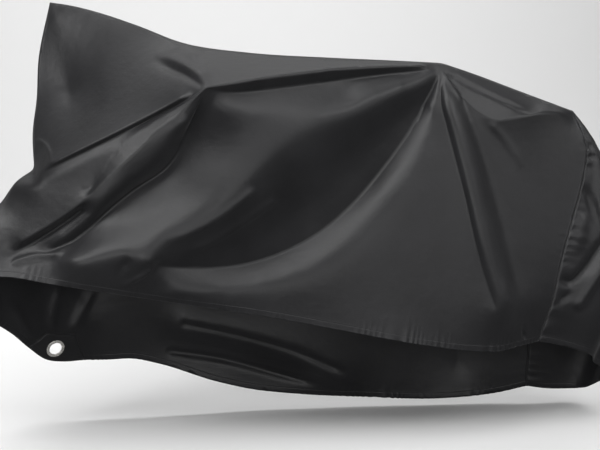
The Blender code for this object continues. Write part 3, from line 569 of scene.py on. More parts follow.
# %% A side panel from its loop and its folds
def side_panel(loop, folds, side, spacing, free_lines=(), flat_lines=(), flat_loop=None,
               hole=None):
    """A side panel's points, triangles and sharp edges; side is -1 near and 1 far."""
    rows, hold, sharp = rows_of(loop, folds, side, spacing, free_lines, flat_lines)
    verts, faces, sources, creases = lay_out(loop, rows[1:], sharp[1:], spacing, hole)
    row_of = np.concatenate([np.full(len(row), k) for k, row in enumerate(rows)])
    rows, hold = np.vstack(rows), np.concatenate(hold)
    height, grip = np.zeros(len(verts)), np.zeros(len(verts))
    creased, on_rim = np.zeros(len(verts), bool), np.zeros(len(verts), bool)
    for i, found in enumerate(sources):
        in_rows = [s for s in found if s < len(rows)]
        if in_rows:
            height[i], grip[i] = rows[in_rows[0], 2], hold[in_rows[0]]
            creased[i] = any(sharp[row_of[s]] for s in in_rows)
            on_rim[i] = any(row_of[s] == 0 for s in in_rows)
    if flat_loop is not None:
        flat = inside(verts, flat_loop) & (grip < 1.0)
        height[flat] = patch_y(*verts[flat].T)
        grip[flat] = 1.0
    height = pull_taut(verts, faces, height, grip, creased, on_rim, reach_at(verts, folds))
    points = np.column_stack([verts[:, 0], height, verts[:, 1]])
    flipped = normals_of(points, faces)[:, 1] * side < 0
    faces[flipped] = faces[flipped][:, ::-1]
    return points, faces, np.array(creases).reshape(-1, 2)


# %% The near panel, pulled taut
NEAR_MESH, HEM_MESH = 0.024, 0.014      # spacing of the net, and along its hem
HEM_WIDTH = 0.017                       # the doubled hem
HEM_ROWS = (0.008, HEM_WIDTH, 0.028)    # rows of points beside the hem
crown = join_runs(*(run_through(run, NEAR_MESH) for run in
                    (NOSE_RUN, FRONT_RUN, TOP_FRONT_RUN, TOP_REAR_RUN)))
near_seam = run_through(NEAR_SEAM_RUN, NEAR_MESH)
near_hem = run_through(NEAR_HEM_RUN, HEM_MESH)
near_loop = join_runs(crown, near_seam, near_hem)[:-1]
near_rows = [shift_inward(near_hem, distance, -1)[2:-2] for distance in HEM_ROWS]
near_net = side_panel(near_loop, NEAR_FOLDS, -1, NEAR_MESH, free_lines=near_rows)
print("the near net has", len(near_net[1]), "triangles")

# %% [markdown]
# ## The corner patch in the far panel
#
# A hem alone would tear at an eyelet, so a flat double patch is sewn into the corner
# that takes the strain.  The patch could be a piece of its own laid over the hem.  It
# is cut out of the far panel's net instead, flat and with its hole, so that its edges
# meet the panel point for point.

# %% Circles on the patch
EYELET_HOLE, PATCH_FRAME = 0.0225, 0.0340       # radii of the hole and the flat round it
HOLE_SIDES = 24


def patch_axes():
    """The patch's plane: along the hem, up the patch, and away to the far side."""
    away = Vector((-PATCH_SLOPE_X, 1.0, -PATCH_SLOPE_Z)).normalized()
    along = Vector((1.0, PATCH_SLOPE_X, 0.0)).normalized()
    return along, away.cross(along), away


def circle(radius):
    """A closed ring of stations on the patch's plane, round the eyelet."""
    along, up, _ = patch_axes()
    ring = []
    for k in range(HOLE_SIDES + 1):
        turn = 2 * math.pi * (k % HOLE_SIDES) / HOLE_SIDES
        step = radius * (math.cos(turn) * along + math.sin(turn) * up)
        ring.append(on_patch(EYELET_X + step.x, EYELET_Z + step.z))
    return np.array(ring)


print("the eyelet's hole is", round(2000 * EYELET_HOLE), "mm across")

# %% The far panel, pulled taut
FAR_MESH, FINE_STEP = 0.030, 0.002      # spacing of the net, and of runs only read off
BELOW_HEM = 0.2         # reach of the patch's outline past the hem, where nothing is
far_seam = run_through(FAR_SEAM_RUN, FINE_STEP)
far_seam = far_seam[np.linspace(0, len(far_seam) - 1, len(near_seam)).round().astype(int)]
far_hem = run_through(FAR_HEM_RUN, HEM_MESH)
far_loop = join_runs(crown, far_seam, far_hem)[:-1]
patch_edge = join_runs(*(run_through((on_patch(*a), on_patch(*b)), FAR_MESH) for a, b in
                         ((PATCH_FRONT, PATCH_TOP[0]), PATCH_TOP, (PATCH_TOP[1], PATCH_REAR))))
patch_loop = np.vstack([patch_edge[:, :2], [(EYELET_X, EYELET_Z - BELOW_HEM)]])
hole = circle(EYELET_HOLE)

far_net = side_panel(far_loop, FAR_FOLDS, 1, FAR_MESH,
                     flat_lines=(patch_edge, hole, circle(PATCH_FRAME)),
                     flat_loop=patch_loop, hole=hole[:-1])
print("the far net has", len(far_net[1]), "triangles")

# %% [markdown]
# ## The rear panel
#
# The rear panel is a long narrow piece between the two side panels, eased in so that
# it puckers along its seams.  It wraps the back wheel, so a side view can't describe
# it.  It could be lofted by hand; a row of arcs from one seam to the other does the
# same and can be given folds that run down the panel.

# %% Rear panel
REAR_STEPS, TUCK = 24, 0.85     # strips round the panel, and how fast it turns away
RearFold = namedtuple("RearFold", "top bottom depth width")
REAR_FOLDS = (
    RearFold(top=0.08, bottom=0.06, depth=-0.016, width=0.030),
    RearFold(top=0.12, bottom=0.19, depth=0.022, width=0.050),
    RearFold(top=0.22, bottom=0.33, depth=-0.028, width=0.055),
    RearFold(top=0.38, bottom=0.47, depth=0.016, width=0.050),
    RearFold(top=0.62, bottom=0.66, depth=-0.020, width=0.065),
    RearFold(top=0.80, bottom=0.84, depth=0.012, width=0.060),
)


def rear_ripple(around, down):
    """How far the rear panel's folds push it out, none of it at the two seams."""
    fade = math.sin(math.pi * around) ** 0.5 * min(1.0, 4.0 * down)
    total = 0.0
    for fold in REAR_FOLDS:
        middle = fold.top + (fold.bottom - fold.top) * down
        total += fold.depth * math.exp(-((around - middle) / fold.width) ** 2)
    return total * fade


def rear_panel(near_seam, far_seam):
    """The rear panel's points and triangles, row by row from its top corner down."""
    rows = len(near_seam)
    outline = run_through(REAR_OUTLINE, FINE_STEP)
    travel = np.concatenate([[0.0], np.cumsum(lengths_of(outline))])
    points, ids = [np.array([near_seam[0, 0], near_seam[0, 2], near_seam[0, 1]])], []
    for i in range(rows):
        down = i / (rows - 1)
        near, far = near_seam[i], far_seam[i]
        back = np.array([np.interp(down * travel[-1], travel, outline[:, k])
                         for k in range(3)])
        row = []
        for j in range(REAR_STEPS + 1):
            if i == 0:
                row.append(0)
                continue
            turn = math.pi * (j / REAR_STEPS - 0.5)
            across = 0.5 + 0.5 * math.sin(turn)
            bulge = 0.0 if j in (0, REAR_STEPS) else math.cos(turn) ** TUCK
            x, z, y = near + (far - near) * across + (back - (near + far) / 2) * bulge
            ripple = rear_ripple(j / REAR_STEPS, down)
            row.append(len(points))
            points.append(np.array([x + ripple * math.cos(turn),
                                    y + ripple * math.sin(turn), z]))
        ids.append(row)
    faces = []
    for upper, lower in zip(ids[:-1], ids[1:]):
        for j in range(REAR_STEPS):
            if upper[j] != upper[j + 1]:
                faces.append((upper[j], lower[j], upper[j + 1]))
            faces.append((lower[j], lower[j + 1], upper[j + 1]))
    return np.array(points), np.array(faces), np.zeros((0, 2), int)


rear_net = rear_panel(near_seam, far_seam)
print("the rear net has", len(rear_net[1]), "triangles")

# %% [markdown]
# ## Rounding the nets
#
# The solved nets are still made of flat triangles about as long as a thumb.  A finer
# net could be solved at once, but that takes far longer.  Loop's subdivision is the
# rule made for triangles: it rounds the cloth, keeps the rims on their own curves, and
# can hold a fold sharp, which leaves the small radius that a pressed crease has.

# %% Loop subdivision
def spans_of(faces):
    """The three edges of every triangle, as pairs of points."""
    return np.vstack([faces[:, [0, 1]], faces[:, [1, 2]], faces[:, [2, 0]]])


def split_net(points, faces, creases, corners):
    """One round of Loop's rule.  Creases and rims move along themselves only."""
    count = len(points)
    across = np.concatenate([faces[:, 2], faces[:, 0], faces[:, 1]])
    edges, which, uses = np.unique(np.sort(spans_of(faces), axis=1), axis=0,
                                   return_inverse=True, return_counts=True)
    which = which.ravel()
    rim = uses == 1
    folded = np.sort(creases, axis=1)
    sharp = rim | np.isin(edges[:, 0] * count + edges[:, 1],
                          folded[:, 0] * count + folded[:, 1])
    first, second = edges.T
    ends = points[first] + points[second]

    def gather(index, values, size):
        return np.column_stack([np.bincount(index, values[:, k], size) for k in range(3)])

    sides = gather(which, points[across], len(edges))
    middle = np.where(sharp[:, None], ends / 2, ends * 3 / 8 + sides / 8)

    def neighbours(chosen):
        a, b = first[chosen], second[chosen]
        total = gather(a, points[b], count) + gather(b, points[a], count)
        return total, np.bincount(a, minlength=count) + np.bincount(b, minlength=count)

    around, valence = neighbours(np.ones(len(edges), bool))
    valence = np.maximum(valence, 3)
    beta = (5 / 8 - (3 / 8 + np.cos(2 * math.pi / valence) / 4) ** 2) / valence
    moved = (1 - valence * beta)[:, None] * points + beta[:, None] * around
    on_rim = np.bincount(edges[rim].ravel(), minlength=count) > 0
    line, lines = neighbours(sharp & ~rim)
    kept = (lines == 2) & ~on_rim
    moved[kept] = 0.75 * points[kept] + line[kept] / 8
    moved[(lines > 2) & ~on_rim] = points[(lines > 2) & ~on_rim]
    line, _ = neighbours(rim)
    moved[on_rim] = 0.75 * points[on_rim] + line[on_rim] / 8
    moved[corners] = points[corners]

    a, b, c = faces.T
    ab, bc, ca = count + which.reshape(3, -1)
    faces = np.vstack([np.column_stack(t) for t in
                       ((a, ab, ca), (b, bc, ab), (c, ca, bc), (ab, bc, ca))])
    halves = np.nonzero(sharp & ~rim)[0]
    creases = np.vstack([np.column_stack([first[halves], count + halves]),
                         np.column_stack([second[halves], count + halves])])
    return np.vstack([moved, middle]), faces, creases

# %% Rounding all four sheets
ROUNDS, SAME_PLACE = 2, 1e-4


def round_net(points, faces, creases, corner_places):
    """Loop's rule several times, with folds held sharp and corners left in place."""
    used = np.unique(faces)
    renumber = np.full(len(points), -1)
    renumber[used] = np.arange(len(used))
    points, faces = points[used], renumber[faces]
    creases = renumber[creases.astype(int)]
    creases = creases[(creases >= 0).all(axis=1)]
    for _ in range(ROUNDS):
        places = np.array([(x, y, z) for x, z, y in corner_places])
        gap = np.linalg.norm(points[:, None, :] - places[None], axis=-1)
        corners = np.unique(gap.argmin(axis=0)[gap.min(axis=0) < SAME_PLACE])
        points, faces, creases = split_net(points, faces, creases, corners)
    return points, faces


CORNERS = (NOSE, FAR_GRIP, REAR_CORNER, REAR_HEM, FAR_REAR_HEM, on_patch(*PATCH_FRONT),
           on_patch(*PATCH_REAR), on_patch(*PATCH_TOP[0]), on_patch(*PATCH_TOP[1]))
in_patch = inside(far_net[0][far_net[1]].mean(axis=1)[:, [0, 2]], patch_loop)
sheets = {
    "near_side_panel": round_net(*near_net, CORNERS),
    "far_side_panel": round_net(far_net[0], far_net[1][~in_patch], far_net[2], CORNERS),
    "rear_panel": round_net(*rear_net, CORNERS),
    "eyelet_patch": round_net(far_net[0], far_net[1][in_patch], far_net[2], CORNERS),
}
for name, (points, faces) in sheets.items():
    print(name, "has", len(faces), "triangles on its outer side")


# %% [markdown]
# ## Small folds, gathers and hems
#
# The taut sheets have the main folds.  The small ones, too fine for the net's rows, are
# raised on them afterwards: each is a line in side view with a height and a width.
# On the real cover, elastic in the hem and cloth eased into the rear seam make short
# waves that die out a few fingers away.  Cloth simulation can grow such waves too, but
# a sum of uneven waves gives the same look and puts them where the cloth is tight.

# %% Small folds of the near panel, as (x, z) stations with a height and a width
SmallFold = namedtuple("SmallFold", "name height width stations")

NEAR_SMALL_FOLDS = (
    SmallFold("groove above the grip", -0.007, 0.012,
              ((-0.694, -0.046), (-0.722, -0.026), (-0.778, -0.001), (-0.830, 0.021))),
    SmallFold("ridge over that groove", 0.005, 0.014,
              ((-0.694, -0.034), (-0.722, -0.006), (-0.778, 0.022), (-0.815, 0.036))),
    SmallFold("tuck over the saddle facet", -0.005, 0.007,
              ((0.020, -0.030), (0.060, -0.052), (0.150, -0.094), (0.255, -0.140))),
    SmallFold("sharp top of the knuckle", 0.006, 0.007,
              ((-0.838, -0.520), (-0.860, -0.540), (-0.900, -0.565), (-0.930, -0.583))),
    SmallFold("pleat beside the saddle", 0.007, 0.005,
              ((0.000, -0.022), (0.012, -0.048), (0.040, -0.088), (0.052, -0.104))),
    SmallFold("groove beside that pleat", -0.006, 0.006,
              ((0.004, -0.020), (0.024, -0.046), (0.052, -0.084))),
    SmallFold("soft fold under the facet", 0.004, 0.011,
              ((0.125, -0.160), (0.165, -0.205), (0.205, -0.262), (0.225, -0.300))),
    SmallFold("low wave in the hollow", 0.006, 0.013,
              ((-0.560, -0.318), (-0.640, -0.380), (-0.720, -0.425), (-0.800, -0.458))),
    SmallFold("second wave in the hollow", 0.005, 0.012,
              ((-0.500, -0.352), (-0.590, -0.412), (-0.680, -0.462), (-0.760, -0.490))),
    SmallFold("gathered ridge over the front hem", 0.007, 0.007,
              ((-1.225, -0.524), (-1.160, -0.505), (-1.095, -0.495), (-1.054, -0.466))),
    SmallFold("dent behind the knuckle", -0.006, 0.012,
              ((-0.900, -0.500), (-0.925, -0.530), (-0.940, -0.560))),
    SmallFold("pucker beside the front seam", 0.004, 0.005,
              ((-1.161, -0.207), (-1.130, -0.211), (-1.110, -0.240), (-1.113, -0.265))),
    SmallFold("slit at the end of the hem", -0.008, 0.006,
              ((0.232, -0.795), (0.226, -0.770), (0.220, -0.735))),
)
print("small folds on the near panel:", len(NEAR_SMALL_FOLDS))

# %% Small folds of the far panel and of the rear panel
FAR_SMALL_FOLDS = (
    SmallFold("fold up from the patch", -0.007, 0.014,
              ((-1.080, -0.800), (-1.050, -0.740), (-1.000, -0.650))),
    SmallFold("second fold up from the patch", -0.006, 0.012,
              ((-1.140, -0.785), (-1.130, -0.720), (-1.100, -0.630))),
    SmallFold("third fold up from the patch", -0.006, 0.012,
              ((-1.200, -0.800), (-1.220, -0.740), (-1.250, -0.660))),
    SmallFold("sharp edge of the upper slack fold", 0.009, 0.011,
              ((-0.760, -0.790), (-0.570, -0.836), (-0.400, -0.890), (-0.240, -0.965))),
    SmallFold("sharp edge of the lower slack fold", 0.008, 0.010,
              ((-0.800, -0.880), (-0.620, -0.915), (-0.440, -0.970), (-0.330, -1.000))),
)
REAR_SMALL_FOLDS = (
    SmallFold("groove above the slack facet", -0.011, 0.013,
              ((0.405, -0.345), (0.432, -0.385), (0.456, -0.455), (0.500, -0.540))),
    SmallFold("slack facet", 0.009, 0.024,
              ((0.412, -0.430), (0.402, -0.490), (0.398, -0.550))),
    SmallFold("groove under the slack facet", -0.015, 0.015,
              ((0.335, -0.610), (0.374, -0.632), (0.417, -0.597), (0.452, -0.546),
               (0.500, -0.480))),
    SmallFold("ridge under that groove", 0.011, 0.014,
              ((0.390, -0.715), (0.420, -0.668), (0.455, -0.612), (0.505, -0.545))),
    SmallFold("groove at the foot of the seam", -0.010, 0.013,
              ((0.330, -0.690), (0.365, -0.670), (0.390, -0.640))),
)
SMALL_FOLDS = {"near_side_panel": NEAR_SMALL_FOLDS, "far_side_panel": FAR_SMALL_FOLDS,
               "rear_panel": REAR_SMALL_FOLDS}
print("small folds in all:", sum(len(folds) for folds in SMALL_FOLDS.values()))

# %% Raising small folds
LINE_STEP = 0.010                       # spacing of the points along a small fold
FOLD_RISE, FOLD_FALL = 0.02, 0.05       # lengths over which it starts and dies out


def raise_small_folds(points, folds):
    """How far each point moves out for the small folds it lies on."""
    total = np.zeros(len(points))
    side_view = points[:, [0, 2]]
    for fold in folds:
        flat = np.array([(x, z, 0.0) for x, z in fold.stations])
        run = run_through(flat, LINE_STEP)[:, :2]
        gap, along = measure_from(side_view, run)
        length = lengths_of(run).sum()
        ends = np.clip(along / FOLD_RISE, 0, 1) * np.clip((length - along) / FOLD_FALL, 0, 1)
        total += fold.height * np.exp(-(gap / fold.width) ** 2) * ends
    return total


deepest = min(fold.height for folds in SMALL_FOLDS.values() for fold in folds)
print("the deepest small fold is", round(-1000 * deepest), "mm deep")

# %% Waves along hems and seams
HEM_WAVE, HEM_GATHER = 0.019, 0.0006    # the elastic's own small waves
GATHER_FADE = 0.022                     # how far up from the hem they reach
# Where the near hem is gathered hard: middle along x, half width, height of the waves.
HARD_GATHERS = ((0.000, 0.170, 0.0034), (-1.190, 0.120, 0.0013))
SEAM_WAVE, SEAM_GATHER, SEAM_FADE = 0.033, 0.0042, 0.024
SEAM_START, SEAM_HOLD = 0.15, 0.008     # the waves start below the corner, off the seam
SIDE_GATHER, SIDE_FADE = 0.0010, 0.012  # the side panels pucker less than the rear one
# Lengths in metres over which the waves' spacing and height wander.
HEM_BEATS, SEAM_BEATS = (0.052, 0.0213, 0.067, 0.031), (0.061, 0.023, 0.083)


def hem_waves(points, gap, along):
    """Short waves from the elastic, strongest where the hem is gathered hard."""
    slow, quick, swelling, uneven = HEM_BEATS
    height = np.full(len(points), HEM_GATHER)
    for middle, reach, extra in HARD_GATHERS:
        height += extra * np.exp(-((points[:, 0] - middle) / reach) ** 2)
    turn = along / HEM_WAVE + 0.8 * np.sin(along / slow) + 0.5 * np.sin(along / quick)
    share = 0.55 + 0.45 * np.sin(along / swelling + 1.3 * np.sin(along / uneven))
    return height * share * np.sin(2 * math.pi * turn) * np.exp(-gap / GATHER_FADE)


def seam_waves(gap, along, height, fade):
    """Waves that run square to a gathered seam; the seam line itself stays put."""
    slow, quick, swelling = SEAM_BEATS
    turn = along / SEAM_WAVE + 0.6 * np.sin(along / slow) + 0.3 * np.sin(along / quick)
    strength = height * (0.30 + 0.70 * np.sin(along / swelling) ** 4)
    strength = strength * np.clip(along / SEAM_START, 0, 1)
    waves = strength * np.sin(2 * math.pi * turn) * np.exp(-gap / fade)
    return waves * np.clip(gap / SEAM_HOLD, 0, 1)


print("waves are", round(1000 * HEM_WAVE), "mm long by the hem and", round(1000 * SEAM_WAVE),
      "mm by the rear seams")

# %% [markdown]
# ## From a sheet to a piece of cloth
#
# Each sheet gets its small folds, a doubled hem, and a second side one millimetre
# in, with a wall round its rim, so that it is a closed piece of cloth.  A Solidify
# modifier could do that, but it would part the sheets at their seams, where both have
# to move the same way.  The distance to the hem and to the seams is kept on the mesh,
# because the finish needs it for stitches, wear and the doubled cloth at the seams.


# %% Directions that agree across seams
def unit(vectors):
    """The vectors at a length of one."""
    return vectors / np.maximum(np.linalg.norm(vectors, axis=1, keepdims=True), 1e-12)


def point_normals(points, faces):
    """Each point's normal, from the normals of the triangles that meet in it."""
    index, normals = faces.T.ravel(), np.vstack([normals_of(points, faces)] * 3)
    return unit(np.column_stack([np.bincount(index, normals[:, k], len(points))
                                 for k in range(3)]))


def outward(sheets):
    """Each sheet's directions out of the cloth, midway between sheets at a seam."""
    keys, own = {}, {}
    for name, (points, faces) in sheets.items():
        own[name] = point_normals(points, faces)
        for point, normal in zip(np.round(points, 5).tolist(), own[name]):
            key = tuple(point)
            keys[key] = keys.get(key, 0.0) + normal
    return {name: unit(np.array([keys[tuple(p)] for p in np.round(points, 5).tolist()]))
            for name, (points, faces) in sheets.items()}


directions = outward(sheets)
print("directions out of the cloth:", ", ".join(directions))

# %% Closed pieces of cloth
CLOTH = 0.0010                          # thickness of the cloth
HEM_SWELL, HEM_STEP = 0.0012, 0.0012    # how far the hem stands out, and its step's width
FAR_FROM_HEM = 500.0                    # steps away; more would be too much for exp


def rim_of(faces):
    """The edges round a piece, each in the direction of its own triangle."""
    count, spans = faces.max() + 1, spans_of(faces)
    forward = spans[:, 0] * count + spans[:, 1]
    return spans[~np.isin(forward, spans[:, 1] * count + spans[:, 0])]


def swell(gap):
    """The doubled hem's share of its full height, with a soft step at its stitching."""
    return 1.0 / (1.0 + np.exp(np.minimum((gap - HEM_WIDTH) / HEM_STEP, FAR_FROM_HEM)))


def cloth_piece(name, outer, inner, faces, weave, from_hem, from_seam):
    """A closed mesh of the outer side, the inner side and the wall round the rim."""
    count = len(outer)
    rim = rim_of(faces)
    walls = np.column_stack([rim[:, 1], rim[:, 0], rim[:, 0] + count, rim[:, 1] + count])
    data = bpy.data.meshes.new(name)
    data.from_pydata(np.vstack([outer, inner]).tolist(), [],
                     faces.tolist() + (faces[:, ::-1] + count).tolist() + walls.tolist())
    data.update()
    layer = data.uv_layers.new(name="weave")
    corner_points = np.zeros(len(data.loops), np.int32)
    data.loops.foreach_get("vertex_index", corner_points)
    layer.data.foreach_set("uv", np.vstack([weave, weave])[corner_points].ravel())
    for label, (gap, along) in (("from_hem", from_hem), ("from_seam", from_seam)):
        kept = data.attributes.new(label, "FLOAT_VECTOR", "POINT")
        values = np.column_stack([gap, along, np.zeros(count)])
        kept.data.foreach_set("vector", np.vstack([values, values]).astype(np.float32).ravel())
    data.shade_smooth()
    return add_to_scene(name, data)


print("the cloth is", round(1000 * CLOTH, 1), "mm thick, and at its hem",
      round(1000 * (CLOTH + HEM_SWELL), 1), "mm")

# %% Rows for the stitches
STITCH_FROM_SEAM, STITCH_FROM_EDGE = 0.0045, 0.0020     # from the seam, and inside the hem
STITCH_LIFT, STITCH_BREAK = 0.0001, 0.020       # out of the cloth; a gap that ends a row


def level_line(points, faces, out, gap, along, distance):
    """The lines on a sheet that stay at one distance from a hem or seam."""
    a, b = np.unique(np.sort(spans_of(faces), axis=1), axis=0).T
    crossed = (gap[a] < distance) != (gap[b] < distance)
    a, b = a[crossed], b[crossed]
    share = ((distance - gap[a]) / (gap[b] - gap[a]))[:, None]
    line = points[a] * (1 - share) + points[b] * share + STITCH_LIFT * out[a]
    line = line[np.argsort(along[a] * (1 - share[:, 0]) + along[b] * share[:, 0])]
    line[1:-1] = (line[:-2] + line[1:-1] + line[2:]) / 3
    breaks = np.nonzero(lengths_of(line) > STITCH_BREAK)[0] + 1
    return [run for run in np.split(line, breaks) if len(run) > 3]


print("stitches run", 1000 * STITCH_FROM_SEAM, "mm from the seams")

# %% The seams and the hem of each sheet
rear_hem = rear_net[0][-(REAR_STEPS + 1):]
swap = [0, 2, 1]
HEMS = {"near_side_panel": near_hem[:, swap], "far_side_panel": far_hem[:, swap],
        "eyelet_patch": far_hem[:, swap], "rear_panel": rear_hem}
SEAMS = {"near_side_panel": (crown, near_seam), "far_side_panel": (crown, far_seam),
         "eyelet_patch": (patch_edge,), "rear_panel": (near_seam, far_seam)}
print("edges sewn to a neighbour:", sum(len(runs) for runs in SEAMS.values()))

# %% Relief of each sheet
SEAM_CLEAR = 0.03       # small folds and hem waves start this far from a seam
HALF_FADE = 0.04        # the rear panel's small folds are on its near half only


def relief(name, points, from_hem, from_seams, seam_gap):
    """How far out each point moves for small folds, gathers and waves."""
    lift = np.zeros(len(points))
    clear = np.clip(seam_gap / SEAM_CLEAR, 0, 1)
    if name == "eyelet_patch":
        return lift
    lift += hem_waves(points, *from_hem) * clear
    folds = raise_small_folds(points, SMALL_FOLDS[name]) * clear
    if name != "rear_panel":
        return lift + folds + seam_waves(*from_seams[1], SIDE_GATHER, SIDE_FADE)
    near_half = np.clip(0.5 - points[:, 1] / HALF_FADE, 0, 1)
    lift += folds * near_half
    for measured in from_seams:
        lift += seam_waves(*measured, SEAM_GATHER, SEAM_FADE)
    return lift


# %% The four pieces of cloth, and the rows of their stitches
pieces, stitch_paths = {}, {}
for name, (points, faces) in sheets.items():
    from_hem = measure_from(points, HEMS[name])
    found = [measure_from(points, run[:, swap]) for run in SEAMS[name]]
    nearest = np.argmin([gap for gap, _ in found], axis=0)
    seam_gap = np.choose(nearest, [gap for gap, _ in found])
    seam_along = np.choose(nearest, [along for _, along in found])
    lift = relief(name, points, from_hem, found, seam_gap)
    out = directions[name]
    swollen = HEM_SWELL * swell(from_hem[0])
    outer = points + (lift + swollen / 2)[:, None] * out
    thick = CLOTH + swollen
    inner = outer - thick[:, None] * out
    weave = points[:, [0, 2]]
    if name == "rear_panel":
        weave = np.column_stack([seam_gap, points[:, 2]])
    pieces[name] = cloth_piece(name.replace("panel", "cloth").replace("patch", "patch_cloth"),
                               outer, inner, faces, weave, from_hem, (seam_gap, seam_along))
    paths = [(*from_hem, HEM_WIDTH - STITCH_FROM_EDGE)]
    if name != "rear_panel":
        paths += [(*measured, STITCH_FROM_SEAM) for measured in found]
    stitch_paths[name] = [path for gap, along, distance in paths for path in
                          level_line(outer, faces, out, gap, along, distance)]
    print(pieces[name].name, "is", round(float(thick.min()) * 1000, 2), "mm thick or more")

# %% [markdown]
# ## The cloth's finish
#
# Coated polyester is near black and satin.  It has a fine plain weave, a slightly
# coarser grid of stronger threads, a little cloudiness where the coating is uneven,
# and it greys where hems and seams rub.  A picture of cloth would do up close, but it
# repeats and stretches.  Waves and noise made by nodes follow the weave's own map and
# stay sharp at any distance.


# %% A helper for node trees
def wire(tree, kind, settings=None, **sockets):
    """A node with its settings, its values and its incoming links."""
    node = tree.nodes.new(kind)
    for key, value in (settings or {}).items():
        setattr(node, key, value)
    for key, value in sockets.items():
        socket = node.inputs[int(key[1:])] if key[1:].isdigit() else node.inputs[
            key.replace("_", " ")]
        if isinstance(value, bpy.types.NodeSocket):
            tree.links.new(value, socket)
        else:
            socket.default_value = value
    return node


def new_material(name):
    """A material with its node tree and its shader."""
    material = bpy.data.materials.new(name)
    material.use_nodes = True
    shader = material.node_tree.nodes["Principled BSDF"]
    return material, material.node_tree, shader


def ramp(tree, value, low, high, to_low=0.0, to_high=1.0):
    """The value's range low to high, spread to another range and held at its ends."""
    return wire(tree, "ShaderNodeMapRange", {"clamp": True}, Value=value, From_Min=low,
                From_Max=high, To_Min=to_low, To_Max=to_high).outputs["Result"]


def maths(tree, operation, a, b=0.0):
    return wire(tree, "ShaderNodeMath", {"operation": operation}, _0=a, _1=b).outputs[0]


def blend(tree, factor, dark, light):
    """A colour between two others; each is a colour or comes from another node."""
    ends = {label: value if isinstance(value, bpy.types.NodeSocket) else (*value, 1.0)
            for label, value in (("A", dark), ("B", light))}
    return wire(tree, "ShaderNodeMix", {"data_type": "RGBA"}, Factor=factor,
                **ends).outputs["Result"]


print("helpers for node trees are ready")

# %% Near-black coated polyester
THREAD_PITCH, GRID_PITCH = 0.0009, 0.0065
WEAVE_DEPTH, GRID_DEPTH, CRINKLE_DEPTH, SEAM_DEPTH = 0.000015, 0.00003, 0.0009, 0.0004
HEM_RUB, SEAM_RUB = 0.006, 0.004        # how far from the edge and the seam it greys
# Distances over which each step or groove runs, from a seam or from the hem's stitches.
DOUBLED_STEP, SEAM_DITCH, STITCH_DITCH = (0.0065, 0.0085), (0.0, 0.0014), (0.0, 0.0016)
COVER_BLACK = (0.011, 0.011, 0.012)


def waves_of(tree, value, pitch):
    """A wave of the given pitch in metres, from -1 to 1."""
    return maths(tree, "SINE", maths(tree, "MULTIPLY", value, 2 * math.pi / pitch))


def kept_distance(tree, label):
    """The distance from the hem or the seams that the mesh keeps."""
    kept = wire(tree, "ShaderNodeAttribute", {"attribute_name": label}).outputs["Vector"]
    return wire(tree, "ShaderNodeSeparateXYZ", _0=kept).outputs[0]


def add_up(tree, *values):
    total = values[0]
    for value in values[1:]:
        total = maths(tree, "ADD", total, value)
    return total


def cloth_relief(tree, hem, seam, crinkle, grid, plain):
    """Doubled cloth and a ditch by the seams, the hem's stitching, crinkles and weave."""
    doubled = ramp(tree, seam, *DOUBLED_STEP, 1.0, 0.0)
    ditch = ramp(tree, seam, *SEAM_DITCH, -1.6, 0.0)
    from_stitching = maths(tree, "ABSOLUTE", maths(tree, "SUBTRACT", hem, HEM_WIDTH))
    stitched = ramp(tree, from_stitching, *STITCH_DITCH, -1.0, 0.0)
    parts = ((add_up(tree, doubled, ditch, stitched), SEAM_DEPTH), (crinkle, CRINKLE_DEPTH),
             (grid, GRID_DEPTH), (plain, WEAVE_DEPTH))
    height = add_up(tree, *(maths(tree, "MULTIPLY", part, depth) for part, depth in parts))
    return wire(tree, "ShaderNodeBump", Height=height, Strength=1.0, Distance=1.0)


def cloth_finish(name, colour, roughness):
    """Coated polyester of one colour, cloudy, rubbed grey at its edges, and satin."""
    material, tree, shader = new_material(name)
    weave = wire(tree, "ShaderNodeUVMap", {"uv_map": "weave"}).outputs["UV"]
    place = wire(tree, "ShaderNodeTexCoord").outputs["Object"]
    across = wire(tree, "ShaderNodeSeparateXYZ", _0=weave).outputs
    hem, seam = kept_distance(tree, "from_hem"), kept_distance(tree, "from_seam")
    plain = maths(tree, "MULTIPLY", *(waves_of(tree, across[k], THREAD_PITCH) for k in (0, 1)))
    grid = maths(tree, "MAXIMUM", *(waves_of(tree, across[k], GRID_PITCH) for k in (0, 1)))
    grid = ramp(tree, grid, 0.80, 1.0)
    cloud = wire(tree, "ShaderNodeTexNoise", Vector=place, Scale=7.0, Detail=3.0).outputs[0]
    crinkle = wire(tree, "ShaderNodeTexNoise", Vector=place, Scale=38.0, Detail=4.0,
                   Roughness=0.55).outputs[0]

    rubbed = add_up(tree, ramp(tree, hem, 0.0, HEM_RUB, 1.0, 0.0),
                    ramp(tree, seam, 0.0, SEAM_RUB, 1.0, 0.0))
    rubbed = maths(tree, "MULTIPLY", rubbed, ramp(tree, crinkle, 0.42, 0.60))
    deep, pale, grey = ([c * share for c in colour] for share in (0.86, 1.12, 3.2))
    coating = blend(tree, ramp(tree, cloud, 0.35, 0.65), deep, pale)
    worn = blend(tree, maths(tree, "MULTIPLY", rubbed, 0.35), coating, grey)
    tree.links.new(worn, shader.inputs["Base Color"])
    rough = add_up(tree, ramp(tree, cloud, 0.3, 0.7, roughness - 0.03, roughness + 0.03),
                   maths(tree, "MULTIPLY", grid, -0.03))
    tree.links.new(rough, shader.inputs["Roughness"])
    bump = cloth_relief(tree, hem, seam, crinkle, grid, plain)
    tree.links.new(bump.outputs["Normal"], shader.inputs["Normal"])
    shader.inputs["Specular IOR Level"].default_value = 0.30
    shader.inputs["Sheen Weight"].default_value = 0.06
    shader.inputs["Sheen Roughness"].default_value = 0.45
    return material


